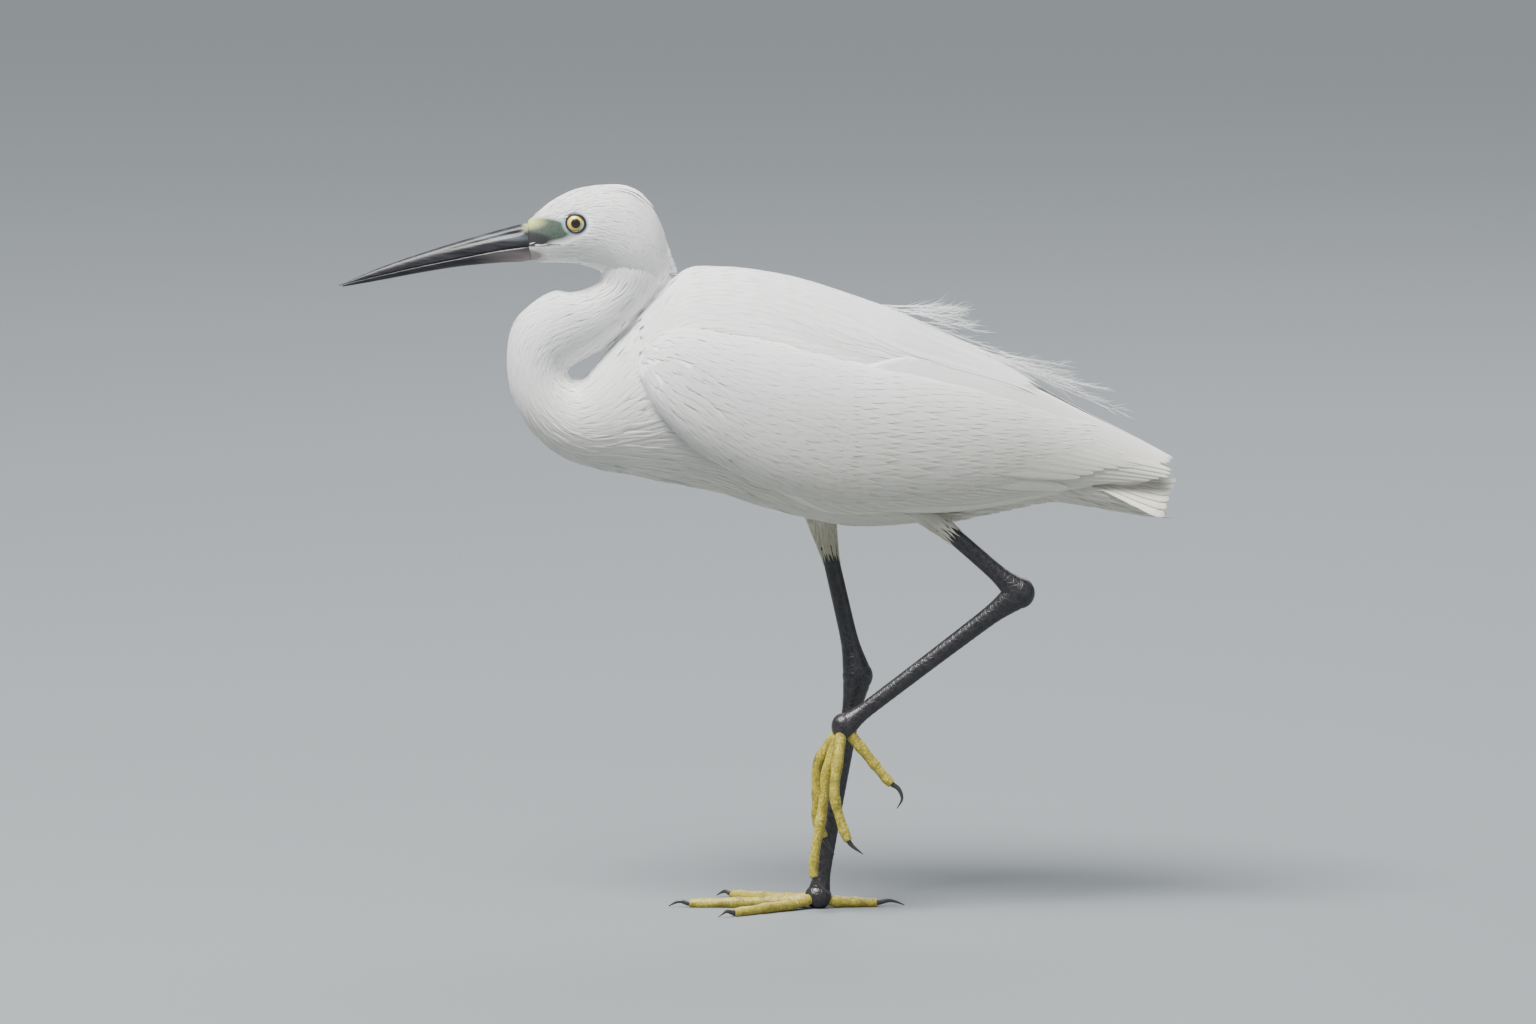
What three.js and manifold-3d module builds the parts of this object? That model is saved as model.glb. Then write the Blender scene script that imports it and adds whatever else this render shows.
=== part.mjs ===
// Little egret, life size, standing on its right leg with the left foot lifted in mid-step.
// Units are millimetres. The bird faces -X, its left side is towards -Y and +Z is up.
// The origin is on the flat sole under the standing foot.
import * as THREE from "three";
import { mergeVertices } from "three/addons/utils/BufferGeometryUtils.js";
import Module from "manifold-3d";

const wasm = await Module();
wasm.setup();

// Clearances between neighbours.
const GAP = 0.3;
const CLEAR = 0.5;
const FINEST = 0.02; // details finer than this are dropped after a cut

// Trunk stations from the base of the neck to the vent: x, heights of the back and the belly, half width.
const TRUNK = [
  { x: -97.4, top: 249.5, bottom: 199.9, half: 21 },
  { x: -86.4, top: 261.3, bottom: 198.1, half: 25 },
  { x: -75.2, top: 274.9, bottom: 195.9, half: 28.5 },
  { x: -67, top: 285.4, bottom: 193.9, half: 31 },
  { x: -59.4, top: 289, bottom: 192.7, half: 32.5 },
  { x: -43.6, top: 290.4, bottom: 189.5, half: 35 },
  { x: -25.7, top: 288.6, bottom: 183.6, half: 36.5 },
  { x: -7.7, top: 284.5, bottom: 178.6, half: 37.5 },
  { x: 14.8, top: 276.6, bottom: 174.4, half: 37.5 },
  { x: 37.4, top: 266, bottom: 175, half: 35.5 },
  { x: 59.9, top: 254, bottom: 177.7, half: 31.5 },
  { x: 82.4, top: 240, bottom: 182.2, half: 25 },
  { x: 100.4, top: 227, bottom: 186, half: 17.5 },
  { x: 112, top: 219, bottom: 187.4, half: 12 },
];

// The dressed body behind the shoulders, on which the wings and scapulars lie:
// x, centre height, half height, half width.
const DRESS = [
  { x: -85, centre: 230.5, high: 34, half: 27 },
  { x: -75.2, centre: 235.4, high: 40.3, half: 29.6 },
  { x: -59.4, centre: 240.8, high: 49, half: 33.6 },
  { x: -43.6, centre: 239.9, high: 51.3, half: 36.1 },
  { x: -25.7, centre: 236.1, high: 53.4, half: 37.6 },
  { x: -7.7, centre: 231.6, high: 53.9, half: 38.6 },
  { x: 14.8, centre: 225.6, high: 52.2, half: 38.6 },
  { x: 37.4, centre: 221.6, high: 47.4, half: 36.9 },
  { x: 59.9, centre: 217.6, high: 41, half: 33.3 },
  { x: 82.4, centre: 214, high: 33.6, half: 27.6 },
  { x: 100.4, centre: 210.4, high: 26.4, half: 21.4 },
  { x: 118, centre: 206.4, high: 20.4, half: 16 },
  { x: 132, centre: 203, high: 16.6, half: 13 },
  { x: 150, centre: 197.6, high: 12.6, half: 10.5 },
  { x: 166, centre: 192.6, high: 8.8, half: 9 },
];
const DRAPE = 0.7; // the wing hangs straighter than the flank below mid height

// Neck stations from inside the head to the trunk: throat-side and nape-side points as [x, z], half width.
const NECK = [
  { front: [-100, 297], back: [-66.4, 298], half: 12.4 },
  { front: [-97.2, 288.6], back: [-67, 289.5], half: 12.2 },
  { front: [-98.5, 284.5], back: [-72.4, 278.6], half: 11.8 },
  { front: [-104.4, 281.3], back: [-79.7, 269.8], half: 11.8 },
  { front: [-111.2, 279.9], back: [-87.4, 261.4], half: 12.2 },
  { front: [-118.8, 280.4], back: [-97.7, 253.4], half: 12.6 },
  { front: [-129.2, 274], back: [-106.7, 248.8], half: 12.8 },
  { front: [-136.8, 265], back: [-111.4, 245.6], half: 13 },
  { front: [-139.3, 249.5], back: [-111.9, 243.9], half: 13.2 },
  { front: [-136.8, 232.7], back: [-110.4, 241.8], half: 13.8 },
  { front: [-128.2, 217.2], back: [-107.5, 240.8], half: 15.2 },
  { front: [-114.8, 205.9], back: [-103.6, 242.2], half: 17.6 },
  { front: [-97.7, 199.9], back: [-97.7, 249.5], half: 21 },
];
const HEAD_JOINT = 1; // station where the head meets the neck
const NECK_JOINTS = [4.5, 8]; // stations where the neck is parted

// Head stations from the feather edge at the bill to the nape: x, crown, jaw line, half width.
const HEAD = [
  { x: -130, top: 313, bottom: 293.9, half: 5.9 },
  { x: -125, top: 316.6, bottom: 293.8, half: 7 },
  { x: -120.2, top: 320.6, bottom: 293.7, half: 8.3 },
  { x: -113.4, top: 324.5, bottom: 293.6, half: 10.5 },
  { x: -106.7, top: 327, bottom: 293, half: 12.3 },
  { x: -95.4, top: 328.5, bottom: 289, half: 13.9 },
  { x: -86, top: 327.3, bottom: 284, half: 14.2 },
  { x: -79.7, top: 324, bottom: 281, half: 13.6 },
  { x: -72.9, top: 316.4, bottom: 281, half: 11.5 },
  { x: -69, top: 308, bottom: 283, half: 8.6 },
  { x: -66.6, top: 299.5, bottom: 288, half: 3.6 },
];

// Bill stations from base to tip: x, culmen, mouth line, lower edge, half width.
const BILL = [
  { x: -130.3, culmen: 311.6, mouth: 301.3, keel: 293.9, half: 5.6 },
  { x: -142.7, culmen: 308.3, mouth: 299.5, keel: 293.4, half: 4.9 },
  { x: -160.7, culmen: 303.1, mouth: 295.8, keel: 291.7, half: 3.9 },
  { x: -178.7, culmen: 297.4, mouth: 292, keel: 288.8, half: 2.9 },
  { x: -196.7, culmen: 291, mouth: 287.7, keel: 285.4, half: 1.8 },
  { x: -207.5, culmen: 286.4, mouth: 284.9, keel: 283.5, half: 0.9 },
  { x: -214.7, culmen: 283.2, mouth: 282.8, keel: 282.3, half: 0.25 },
];
const LOWER_BILL_SHORTER = 1.6;

const EYE = { x: -108.2, y: 8, z: 312.7, radius: 5 };
const LID = { radius: 4.3, tube: 0.7, y: 11.5 };
const NOSTRIL = { x: -137.5, z: 304.4, length: 3.4, height: 0.7, y: 4.6 };

// Leg landmarks as [x, y, z]. The right leg bears the weight.
const LEGS = {
  right: {
    hip: [-3, 15.5, 196],
    feathered: [5.4, 14, 161],
    ankle: [18.4, 9.5, 104.5],
    knuckle: [0.6, 0.3, 5.2],
    thighRadius: [11, 4.3],
  },
  left: {
    hip: [26, -17.5, 200],
    feathered: [57, -18, 175.8],
    ankle: [91, -18, 146.2],
    knuckle: [12, -18, 85.6],
    thighRadius: [9.5, 4.4],
  },
};
const SHANK_RADIUS = 3.8;
const ANKLE_RADIUS = 6.6;
const TARSUS_RADIUS = { top: 4.6, middle: 3.7, low: 3.5 };
const KNUCKLE = {
  right: { radius: 5.8, scale: [1.05, 0.9, 1] },
  left: { radius: 5.6, scale: [1, 0.9, 1.1] },
};
const SIDE_SLIM = 0.84; // legs are a little narrower seen from the front

// Toes. Those on the floor have a bearing, a length and a claw length.
// The raised ones follow [x, y, z] points from the knuckle to the tip of the claw.
const TOE_RADIUS = { base: 2.5, tip: 1.9 };
const CLAW_RADIUS = { base: 1.25, tip: 0.3 };
const GROUND_TOES = {
  inner: { bearing: -33, length: 44, claw: 9 },
  middle: { bearing: 2, length: 57, claw: 10 },
  outer: { bearing: 36, length: 47, claw: 9 },
  hind: { bearing: 172, length: 27, claw: 13 },
};
const GROUND_TOE_HEIGHT = { knuckle: 4.6, joint: 2.3, tip: 1.75 };
const RAISED_TOES = {
  inner: {
    claw: 9,
    path: [
      [10, -16.4, 84],
      [0.6, -13, 68],
      [0, -11.6, 51.4],
      [-0.4, -10.8, 43.2],
      [3, -10.4, 34.2],
      [7.8, -10.2, 25.9],
    ],
  },
  middle: {
    claw: 11,
    path: [
      [10, -18, 83.6],
      [4.4, -17.6, 64],
      [2.2, -17.4, 46],
      [-1.4, -17.4, 24],
      [-0.6, -17.4, 15.3],
      [6, -17.4, 8.9],
    ],
  },
  outer: {
    claw: 9,
    path: [
      [11, -20, 83.6],
      [8.6, -23.6, 66],
      [7.8, -25, 56],
      [9.9, -25.4, 46],
      [14.4, -25.6, 34.2],
      [20.6, -25.6, 28.6],
    ],
  },
  hind: {
    claw: 13.5,
    path: [
      [13.6, -18.4, 83.6],
      [20.6, -19, 75],
      [32, -19.2, 61],
      [36.6, -19.2, 57.4],
      [38.2, -19.2, 52.8],
      [36, -19.2, 48.4],
    ],
  },
};

const MATERIALS = {
  plumage: new THREE.MeshStandardMaterial({ color: 0xf1f0ea, roughness: 0.85, metalness: 0 }),
  horn: new THREE.MeshStandardMaterial({ color: 0x1c1c20, roughness: 0.4, metalness: 0 }),
  leg: new THREE.MeshStandardMaterial({ color: 0x17131a, roughness: 0.45, metalness: 0 }),
  toe: new THREE.MeshStandardMaterial({ color: 0x9d8f14, roughness: 0.55, metalness: 0 }),
  eye: new THREE.MeshStandardMaterial({ color: 0xe8cf58, roughness: 0.1, metalness: 0 }),
};

const point = (x, y, z) => new THREE.Vector3(x, y, z);
const lerp = THREE.MathUtils.lerp;
const radians = THREE.MathUtils.degToRad;

// Value of one key at position x, on a smooth curve through the stations.
// Its slope at each station is that between the neighbours.
function along(stations, key, x) {
  const last = stations.length - 1;
  let i = 0;
  while (i < last - 1 && x > stations[i + 1].x) i += 1;
  const slope = (n) => {
    const a = stations[Math.max(0, n - 1)];
    const b = stations[Math.min(last, n + 1)];
    return (b[key] - a[key]) / (b.x - a.x);
  };
  const [p, q] = [stations[i], stations[i + 1]];
  const span = q.x - p.x;
  const f = THREE.MathUtils.clamp((x - p.x) / span, 0, 1);
  const [f2, f3] = [f * f, f * f * f];
  return (
    (2 * f3 - 3 * f2 + 1) * p[key] +
    (f3 - 2 * f2 + f) * span * slope(i) +
    (3 * f2 - 2 * f3) * q[key] +
    (f3 - f2) * span * slope(i + 1)
  );
}

// Value on a Catmull-Rom curve through evenly numbered values.
function through(values, t) {
  const last = values.length - 1;
  const i = Math.min(Math.max(Math.floor(t), 0), last - 1);
  const f = t - i;
  const at = (n) => values[Math.min(Math.max(n, 0), last)];
  const [a, b, c, d] = [at(i - 1), at(i), at(i + 1), at(i + 2)];
  const bend = 2 * a - 5 * b + 4 * c - d;
  const twist = 3 * b - a - 3 * c + d;
  return 0.5 * (2 * b + (c - a) * f + bend * f * f + twist * f ** 3);
}

// A solid from points and triangles, turned to face outwards.
function solidFrom(points, triangles) {
  const positions = new Float32Array(points.flatMap((p) => [p.x, p.y, p.z]));
  const geometry = new THREE.BufferGeometry()
    .setAttribute("position", new THREE.BufferAttribute(positions, 3))
    .setIndex(triangles);
  const merged = mergeVertices(geometry, 1e-4);
  const vertProperties = merged.attributes.position.array;
  const faces = Array.from(merged.index.array);
  const make = (triVerts) =>
    new wasm.Manifold(new wasm.Mesh({ numProp: 3, vertProperties, triVerts: new Uint32Array(triVerts) }));
  const made = make(faces);
  if (made.volume() > 0) return made;
  for (let i = 0; i < faces.length; i += 3) [faces[i + 1], faces[i + 2]] = [faces[i + 2], faces[i + 1]];
  return make(faces);
}

const middleOf = (ring) => ring.reduce((sum, p) => sum.add(p), point(0, 0, 0)).divideScalar(ring.length);

// A closed solid through rings of equal count, with each end closed by a fan.
function loft(rings) {
  const count = rings[0].length;
  const points = rings.flat();
  const triangles = [];
  for (let k = 0; k + 1 < rings.length; k += 1) {
    for (let j = 0; j < count; j += 1) {
      const a = k * count + j;
      const b = k * count + ((j + 1) % count);
      triangles.push(a, b, b + count, a, b + count, a + count);
    }
  }
  const first = points.push(middleOf(rings[0])) - 1;
  const last = points.push(middleOf(rings.at(-1))) - 1;
  const end = (rings.length - 1) * count;
  for (let j = 0; j < count; j += 1) {
    const next = (j + 1) % count;
    triangles.push(first, next, j, last, end + j, end + next);
  }
  return solidFrom(points, triangles);
}

// A thin closed plate between two grids of equal size, with both faces split along the same diagonals.
function plate(upper, lower) {
  const rows = upper.length;
  const columns = upper[0].length;
  const points = [...upper.flat(), ...lower.flat()];
  const under = rows * columns;
  const at = (i, j) => i * columns + j;
  const triangles = [];
  for (let i = 0; i + 1 < rows; i += 1) {
    for (let j = 0; j + 1 < columns; j += 1) {
      const [a, b, c, d] = [at(i, j), at(i, j + 1), at(i + 1, j + 1), at(i + 1, j)];
      triangles.push(a, b, c, a, c, d, under + a, under + c, under + b, under + a, under + d, under + c);
    }
  }
  const rim = [];
  const [endRow, endColumn] = [rows - 1, columns - 1];
  for (let j = 0; j < endColumn; j += 1) {
    rim.push([at(0, j + 1), at(0, j)], [at(endRow, j), at(endRow, j + 1)]);
  }
  for (let i = 0; i < endRow; i += 1) {
    rim.push([at(i, 0), at(i + 1, 0)], [at(i + 1, endColumn), at(i, endColumn)]);
  }
  for (const [a, b] of rim) triangles.push(a, b, under + b, a, under + b, under + a);
  return solidFrom(points, triangles);
}

const unite = (pieces) => wasm.Manifold.union(pieces);

// The largest closed surface of a solid.
function largest(solid) {
  const parts = solid.decompose();
  return parts.reduce((best, part) => (part.volume() > best.volume() ? part : best));
}

const model = new THREE.Group();

// Adds a solid to the model as a named mesh.
function addNode(name, solid, material) {
  const kept = largest(solid).simplify(FINEST);
  const { vertProperties, triVerts } = kept.getMesh();
  const geometry = new THREE.BufferGeometry()
    .setAttribute("position", new THREE.BufferAttribute(new Float32Array(vertProperties), 3))
    .setIndex(new THREE.BufferAttribute(new Uint32Array(triVerts), 1));
  geometry.computeVertexNormals();
  const mesh = new THREE.Mesh(geometry, material);
  mesh.name = name;
  model.add(mesh);
}

// Trunk: elliptical sections, grown by an extra margin where a clearance is wanted.
const TRUNK_SIDES = 22;
const TRUNK_SLICES = 18;
function trunkSolid(extra) {
  const rings = [];
  const [start, end] = [TRUNK[0].x, TRUNK.at(-1).x];
  for (let k = 0; k <= TRUNK_SLICES; k += 1) {
    const x = lerp(start, end, k / TRUNK_SLICES);
    const top = along(TRUNK, "top", x) + extra;
    const bottom = along(TRUNK, "bottom", x) - extra;
    const half = along(TRUNK, "half", x) + extra;
    const ring = [];
    for (let j = 0; j < TRUNK_SIDES; j += 1) {
      const a = (j / TRUNK_SIDES) * 2 * Math.PI;
      ring.push(point(x, half * Math.cos(a), (top + bottom) / 2 + ((top - bottom) / 2) * Math.sin(a)));
    }
    rings.push(ring);
  }
  return loft(rings);
}

// Neck: elliptical sections whose long axis runs from the throat-side point to the nape-side point.
const NECK_SIDES = 16;
const NECK_STEP = 0.5;
function neckFrame(t) {
  const at = (side, n) => through(NECK.map((s) => s[side][n]), t);
  const front = point(at("front", 0), 0, at("front", 1));
  const back = point(at("back", 0), 0, at("back", 1));
  return { front, back, half: through(NECK.map((s) => s.half), t) };
}
function neckSolid(from, to, extra) {
  const rings = [];
  const steps = Math.round((to - from) / NECK_STEP);
  for (let k = 0; k <= steps; k += 1) {
    const { front, back, half } = neckFrame(lerp(from, to, k / steps));
    const centre = front.clone().add(back).divideScalar(2);
    const reach = front.clone().sub(centre);
    reach.setLength(reach.length() + extra);
    const ring = [];
    for (let j = 0; j < NECK_SIDES; j += 1) {
      const a = (j / NECK_SIDES) * 2 * Math.PI;
      const p = centre.clone().addScaledVector(reach, Math.cos(a));
      p.y = (half + extra) * Math.sin(a);
      ring.push(p);
    }
    rings.push(ring);
  }
  return loft(rings);
}

// A thin slab that parts the neck at one station, reaching a little past both edges.
const SLAB_REACH = { front: 8, back: 2.5, side: 30 };
function neckSlab(t) {
  const { front, back } = neckFrame(t);
  const across = back.clone().sub(front).normalize();
  const normal = point(-across.z, 0, across.x).multiplyScalar(GAP / 2);
  const a = front.clone().addScaledVector(across, -SLAB_REACH.front);
  const b = back.clone().addScaledVector(across, SLAB_REACH.back);
  const corners = [
    a.clone().sub(normal),
    b.clone().sub(normal),
    b.clone().add(normal),
    a.clone().add(normal),
  ];
  const ring = (y) => corners.map((p) => p.clone().setY(y));
  return loft([ring(-SLAB_REACH.side), ring(SLAB_REACH.side)]);
}

// Head: rounded sections, a little fuller at the sides than an ellipse and closer together at both ends.
const HEAD_SIDES = 18;
const HEAD_SLICES = 12;
const HEAD_CROWDING = 0.06;
const HEAD_FULLNESS = 0.9;
function headShell(extra) {
  const rings = [];
  for (let k = 0; k <= HEAD_SLICES; k += 1) {
    const share = k / HEAD_SLICES;
    const x = lerp(HEAD[0].x, HEAD.at(-1).x, share + HEAD_CROWDING * Math.sin(2 * Math.PI * share));
    const top = along(HEAD, "top", x) + extra;
    const bottom = along(HEAD, "bottom", x) - extra;
    const half = along(HEAD, "half", x) + extra;
    const ring = [];
    for (let j = 0; j < HEAD_SIDES; j += 1) {
      const a = (j / HEAD_SIDES) * 2 * Math.PI;
      const across = Math.sign(Math.cos(a)) * Math.abs(Math.cos(a)) ** HEAD_FULLNESS;
      ring.push(point(x, half * across, (top + bottom) / 2 + ((top - bottom) / 2) * Math.sin(a)));
    }
    rings.push(ring);
  }
  return loft(rings);
}

// A solid from one of the library's closed geometries.
function solidOf(geometry) {
  geometry.deleteAttribute("normal");
  geometry.deleteAttribute("uv");
  const merged = mergeVertices(geometry, 1e-4);
  const corners = merged.attributes.position;
  const corner = (_, i) => point(0, 0, 0).fromBufferAttribute(corners, i);
  return solidFrom(Array.from({ length: corners.count }, corner), Array.from(merged.index.array));
}

// A ball or ellipsoid.
function ball(centre, radius, scale = [1, 1, 1], segments = [14, 8]) {
  const geometry = new THREE.SphereGeometry(radius, ...segments);
  return solidOf(geometry.scale(...scale).translate(...centre));
}

// Eyelid: a ring round the eye, facing sideways.
function lidRing(side) {
  const geometry = new THREE.TorusGeometry(LID.radius, LID.tube, 4, 14);
  return solidOf(geometry.rotateX(Math.PI / 2).translate(EYE.x, side * LID.y, EYE.z));
}

// Mouth groove behind the bill: a thin tapered wedge that ends at the gape, below the eye.
const GAPE = { from: [-131, 301.4], to: [-110.5, 303], height: 0.7, start: [4, 9], end: [2, 16] };
function mouthGroove(side) {
  const ring = ([x, z], half, inner, outer) => [
    point(x, side * inner, z - half),
    point(x, side * outer, z - half),
    point(x, side * outer, z + half),
    point(x, side * inner, z + half),
  ];
  const [depth, outside] = GAPE.end;
  const start = ring(GAPE.from, GAPE.height, ...GAPE.start);
  const end = ring(GAPE.to, GAPE.height / 2, along(HEAD, "half", GAPE.to[0]) - depth, outside);
  return loft([start, end]);
}

// One jaw of the bill: half-round sections between the mouth line and the outer edge.
const JAW = { slices: 12, sides: 8, least: 0.15, fullness: 0.85 };
function jaw(edge, shorter) {
  const sign = edge === "culmen" ? 1 : -1;
  const tip = BILL.at(-1).x + shorter;
  const stations = BILL.map((s) => ({ ...s, x: -s.x }));
  const rings = [];
  for (let k = 0; k <= JAW.slices; k += 1) {
    const x = lerp(BILL[0].x, tip, k / JAW.slices);
    const mouth = along(stations, "mouth", -x) + (sign * GAP) / 2;
    const depth = Math.max(sign * (along(stations, edge, -x) - mouth), JAW.least);
    const half = along(stations, "half", -x);
    const ring = [];
    for (let j = 0; j <= JAW.sides; j += 1) {
      const a = (j / JAW.sides) * Math.PI;
      ring.push(point(x, half * Math.cos(a), mouth + sign * depth * Math.sin(a) ** JAW.fullness));
    }
    rings.push(ring);
  }
  return loft(rings);
}

// A place on the dressed body: x along it, phi in degrees from the side, and lift outwards.
// The ridge of the back is at 90 degrees.
function onBody(x, phi, lift) {
  const a = radians(phi);
  const spread = phi < 0 ? Math.cos(a) ** DRAPE : Math.cos(a);
  const half = along(DRESS, "half", x) + lift;
  const high = along(DRESS, "high", x) + lift;
  return point(x, -half * spread, along(DRESS, "centre", x) + high * Math.sin(a));
}

// A feather vane lying on the dressed body from one [x, phi] to another, with its upper edge lying deeper.
const VANE = { steps: 4, thick: 0.6, shingle: 1 };
const VANE_OUTLINE = [0.3, 0.85, 1, 0.92, 0.3];
function vane({ from, to, half, lift, bend = 0, outline = VANE_OUTLINE }) {
  const upper = [];
  const lower = [];
  for (let i = 0; i <= VANE.steps; i += 1) {
    const t = i / VANE.steps;
    const x = lerp(from[0], to[0], t);
    const phi = lerp(from[1], to[1], t) + bend * Math.sin(Math.PI * t);
    const radius = (along(DRESS, "half", x) + along(DRESS, "high", x)) / 2;
    const slopePhi = to[1] - from[1] + bend * Math.PI * Math.cos(Math.PI * t);
    const run = [to[0] - from[0], radius * radians(slopePhi)];
    const size = Math.hypot(...run);
    const reach = half * outline[i];
    const height = lerp(lift[0], lift[1], t);
    const rows = [[], []];
    for (const u of [-1, 1]) {
      const px = x - (run[1] / size) * u * reach;
      const pphi = phi + THREE.MathUtils.radToDeg(((run[0] / size) * u * reach) / radius);
      const level = height - VANE.shingle * u * outline[i];
      rows[0].push(onBody(px, pphi, level + VANE.thick / 2));
      rows[1].push(onBody(px, pphi, level - VANE.thick / 2));
    }
    upper.push(rows[0]);
    lower.push(rows[1]);
  }
  return plate(upper, lower);
}

// A tier of vanes whose roots and tips run evenly between end points, with seeded variation in length.
let seed = 7;
function varied(amount) {
  seed = (seed * 16807) % 2147483647;
  return (seed / 2147483647 - 0.5) * 2 * amount;
}
const TIP_WANDER = 1.4;
function tier({ count, roots, tips, half, lift, bend, droop = 0, step = 0, outline }) {
  return Array.from({ length: count }, (_, i) => {
    const t = i / (count - 1);
    const sag = droop * Math.sin(Math.PI * t);
    const from = [lerp(roots[0][0], roots[1][0], t), lerp(roots[0][1], roots[1][1], t)];
    const to = [lerp(tips[0][0], tips[1][0], t) + varied(TIP_WANDER), lerp(tips[0][1], tips[1][1], t) + sag];
    return vane({ from, to, half, lift: lift.map((height) => height + i * step), bend, outline });
  });
}

// Wing arm and hand, from the bend of the wing to mid back: x, upper and lower edge in degrees, thickness.
const WING_CORE = [
  { x: -80.2, upper: 29, lower: 21, thick: 0.6 },
  { x: -77.5, upper: 36, lower: 10, thick: 4.2 },
  { x: -72, upper: 38, lower: -8, thick: 6.6 },
  { x: -60, upper: 33, lower: -27, thick: 8 },
  { x: -43.6, upper: 30, lower: -39, thick: 8.6 },
  { x: -22, upper: 29.5, lower: -45, thick: 8.4 },
  { x: 0, upper: 30, lower: -44, thick: 7.2 },
  { x: 18, upper: 31, lower: -34, thick: 5.4 },
  { x: 34, upper: 30, lower: -20, thick: 2.6 },
];
const SHELL = { inner: 0.4, rim: 0.7, columns: 6 };

// A shell lying on the dressed body between an upper and a lower edge, thickest along its middle.
function shell(stations, slices) {
  const rings = [];
  for (let k = 0; k <= slices; k += 1) {
    const x = lerp(stations[0].x, stations.at(-1).x, (k / slices) ** 1.25);
    const [upper, lower, thick] = ["upper", "lower", "thick"].map((key) => along(stations, key, x));
    const outer = [];
    const inner = [];
    for (let j = 0; j <= SHELL.columns; j += 1) {
      const v = j / SHELL.columns;
      const bulge = (1 - Math.abs(2 * v - 1) ** 3) ** 0.55;
      outer.push(onBody(x, lerp(upper, lower, v), SHELL.inner + SHELL.rim + thick * bulge));
      if (j > 0 && j < SHELL.columns) inner.unshift(onBody(x, lerp(upper, lower, v), SHELL.inner));
    }
    rings.push([...outer, ...inner]);
  }
  return loft(rings);
}

// The tiers of feathers on one wing, from the body outwards.
const WING_TIERS = [
  {
    count: 3,
    roots: [[14, -34], [22, -18]],
    tips: [[114, -29], [161, 26]],
    half: 6.5,
    lift: [1.5, 0.9],
    bend: -4,
    step: 0.4,
  },
  {
    count: 8,
    roots: [[-44, -18], [26, 4]],
    tips: [[14, -49], [104, -38]],
    half: 7.2,
    lift: [4.2, 3.2],
    bend: -2,
    droop: 1,
  },
  {
    count: 4,
    roots: [[14, 0], [22, 24]],
    tips: [[121, -12], [157, 46]],
    half: 8,
    lift: [6.2, 3.4],
    bend: 3,
    step: 0.4,
  },
  {
    count: 6,
    roots: [[-56, -6], [12, 16]],
    tips: [[-12, -42], [66, -14]],
    half: 8.4,
    lift: [8.2, 6.6],
    bend: -2,
  },
  {
    count: 5,
    roots: [[-62, 4], [-4, 22]],
    tips: [[-32, -34], [34, 6]],
    half: 7.4,
    lift: [9, 9],
    bend: -2,
  },
];

// The saddle of long feathers over the wing tops, and the edge along which it is parted from the wings.
const PARTING = [
  { x: -16, phi: 31 },
  { x: 15, phi: 35 },
  { x: 37, phi: 38 },
  { x: 60, phi: 42 },
  { x: 82, phi: 42 },
  { x: 98, phi: 46 },
  { x: 108, phi: 60 },
  { x: 116, phi: 84 },
];
const PARTING_REACH = 30;
const MIDLINE = { gap: 0.25, past: 0.05 };
const bothSides = (half) => unite([half, half.mirror([0, 1, 0])]);
function partingCap(margin) {
  const rings = [];
  const slices = 22;
  for (let k = 0; k <= slices; k += 1) {
    const x = lerp(PARTING[0].x - margin, PARTING.at(-1).x + margin, k / slices);
    const edge = along(PARTING, "phi", x) - margin;
    const ring = [point(x, MIDLINE.past, along(DRESS, "centre", x))];
    for (let j = 0; j <= 3; j += 1) ring.push(onBody(x, lerp(edge, 90, j / 3), PARTING_REACH));
    ring.at(-1).y = MIDLINE.past;
    rings.push(ring);
  }
  return bothSides(loft(rings));
}

const SADDLE = [
  { x: -12, upper: 110, lower: 70, thick: 0.4 },
  { x: 0, upper: 128, lower: 52, thick: 2 },
  { x: 20, upper: 136, lower: 44, thick: 2.6 },
  { x: 40, upper: 134, lower: 46, thick: 2.2 },
  { x: 53.2, upper: 128, lower: 52, thick: 1 },
];

const LANCE_OUTLINE = [0.5, 1, 0.9, 0.6, 0.12];
const SCAPULAR_TIERS = [
  {
    count: 3,
    roots: [[34, 54], [38, 82]],
    tips: [[98, 54], [108, 80]],
    half: 8,
    lift: [1.4, 1.6],
    step: 0.3,
  },
  {
    count: 3,
    roots: [[14, 52], [20, 80]],
    tips: [[76, 52], [84, 78]],
    half: 8,
    lift: [2.6, 3.8],
    step: 0.3,
  },
  {
    count: 3,
    roots: [[-4, 62], [2, 82]],
    tips: [[48, 54], [56, 78]],
    half: 7.6,
    lift: [3.2, 5.8],
    step: 0.3,
  },
];

// A loose plume strand: root and tip as [x, phi, lift], tapering to a fine tip.
const PLUME = { steps: 4, sides: 3, root: 0.85, tip: 0.28, wander: 3 };
function plume(root, tip, arch) {
  const rings = [];
  for (let k = 0; k <= PLUME.steps; k += 1) {
    const t = k / PLUME.steps;
    const lift = lerp(root[2], tip[2], t) + arch * Math.sin(Math.PI * t);
    const centre = onBody(lerp(root[0], tip[0], t), lerp(root[1], tip[1], t), lift);
    const radius = lerp(PLUME.root, PLUME.tip, t);
    const ring = [];
    for (let j = 0; j < PLUME.sides; j += 1) {
      const a = (j / PLUME.sides) * 2 * Math.PI;
      ring.push(centre.clone().add(point(0, radius * Math.cos(a), radius * Math.sin(a))));
    }
    rings.push(ring);
  }
  return loft(rings);
}
const PLUME_GROUPS = [
  { count: 6, root: [26, 2], spread: 22, tip: [[66, 8.5], [84, 4.5]], arch: -1.6 },
  { count: 7, root: [62, 3], spread: 16, tip: [[118, 8], [141, 11.5]], arch: 1 },
];
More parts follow.
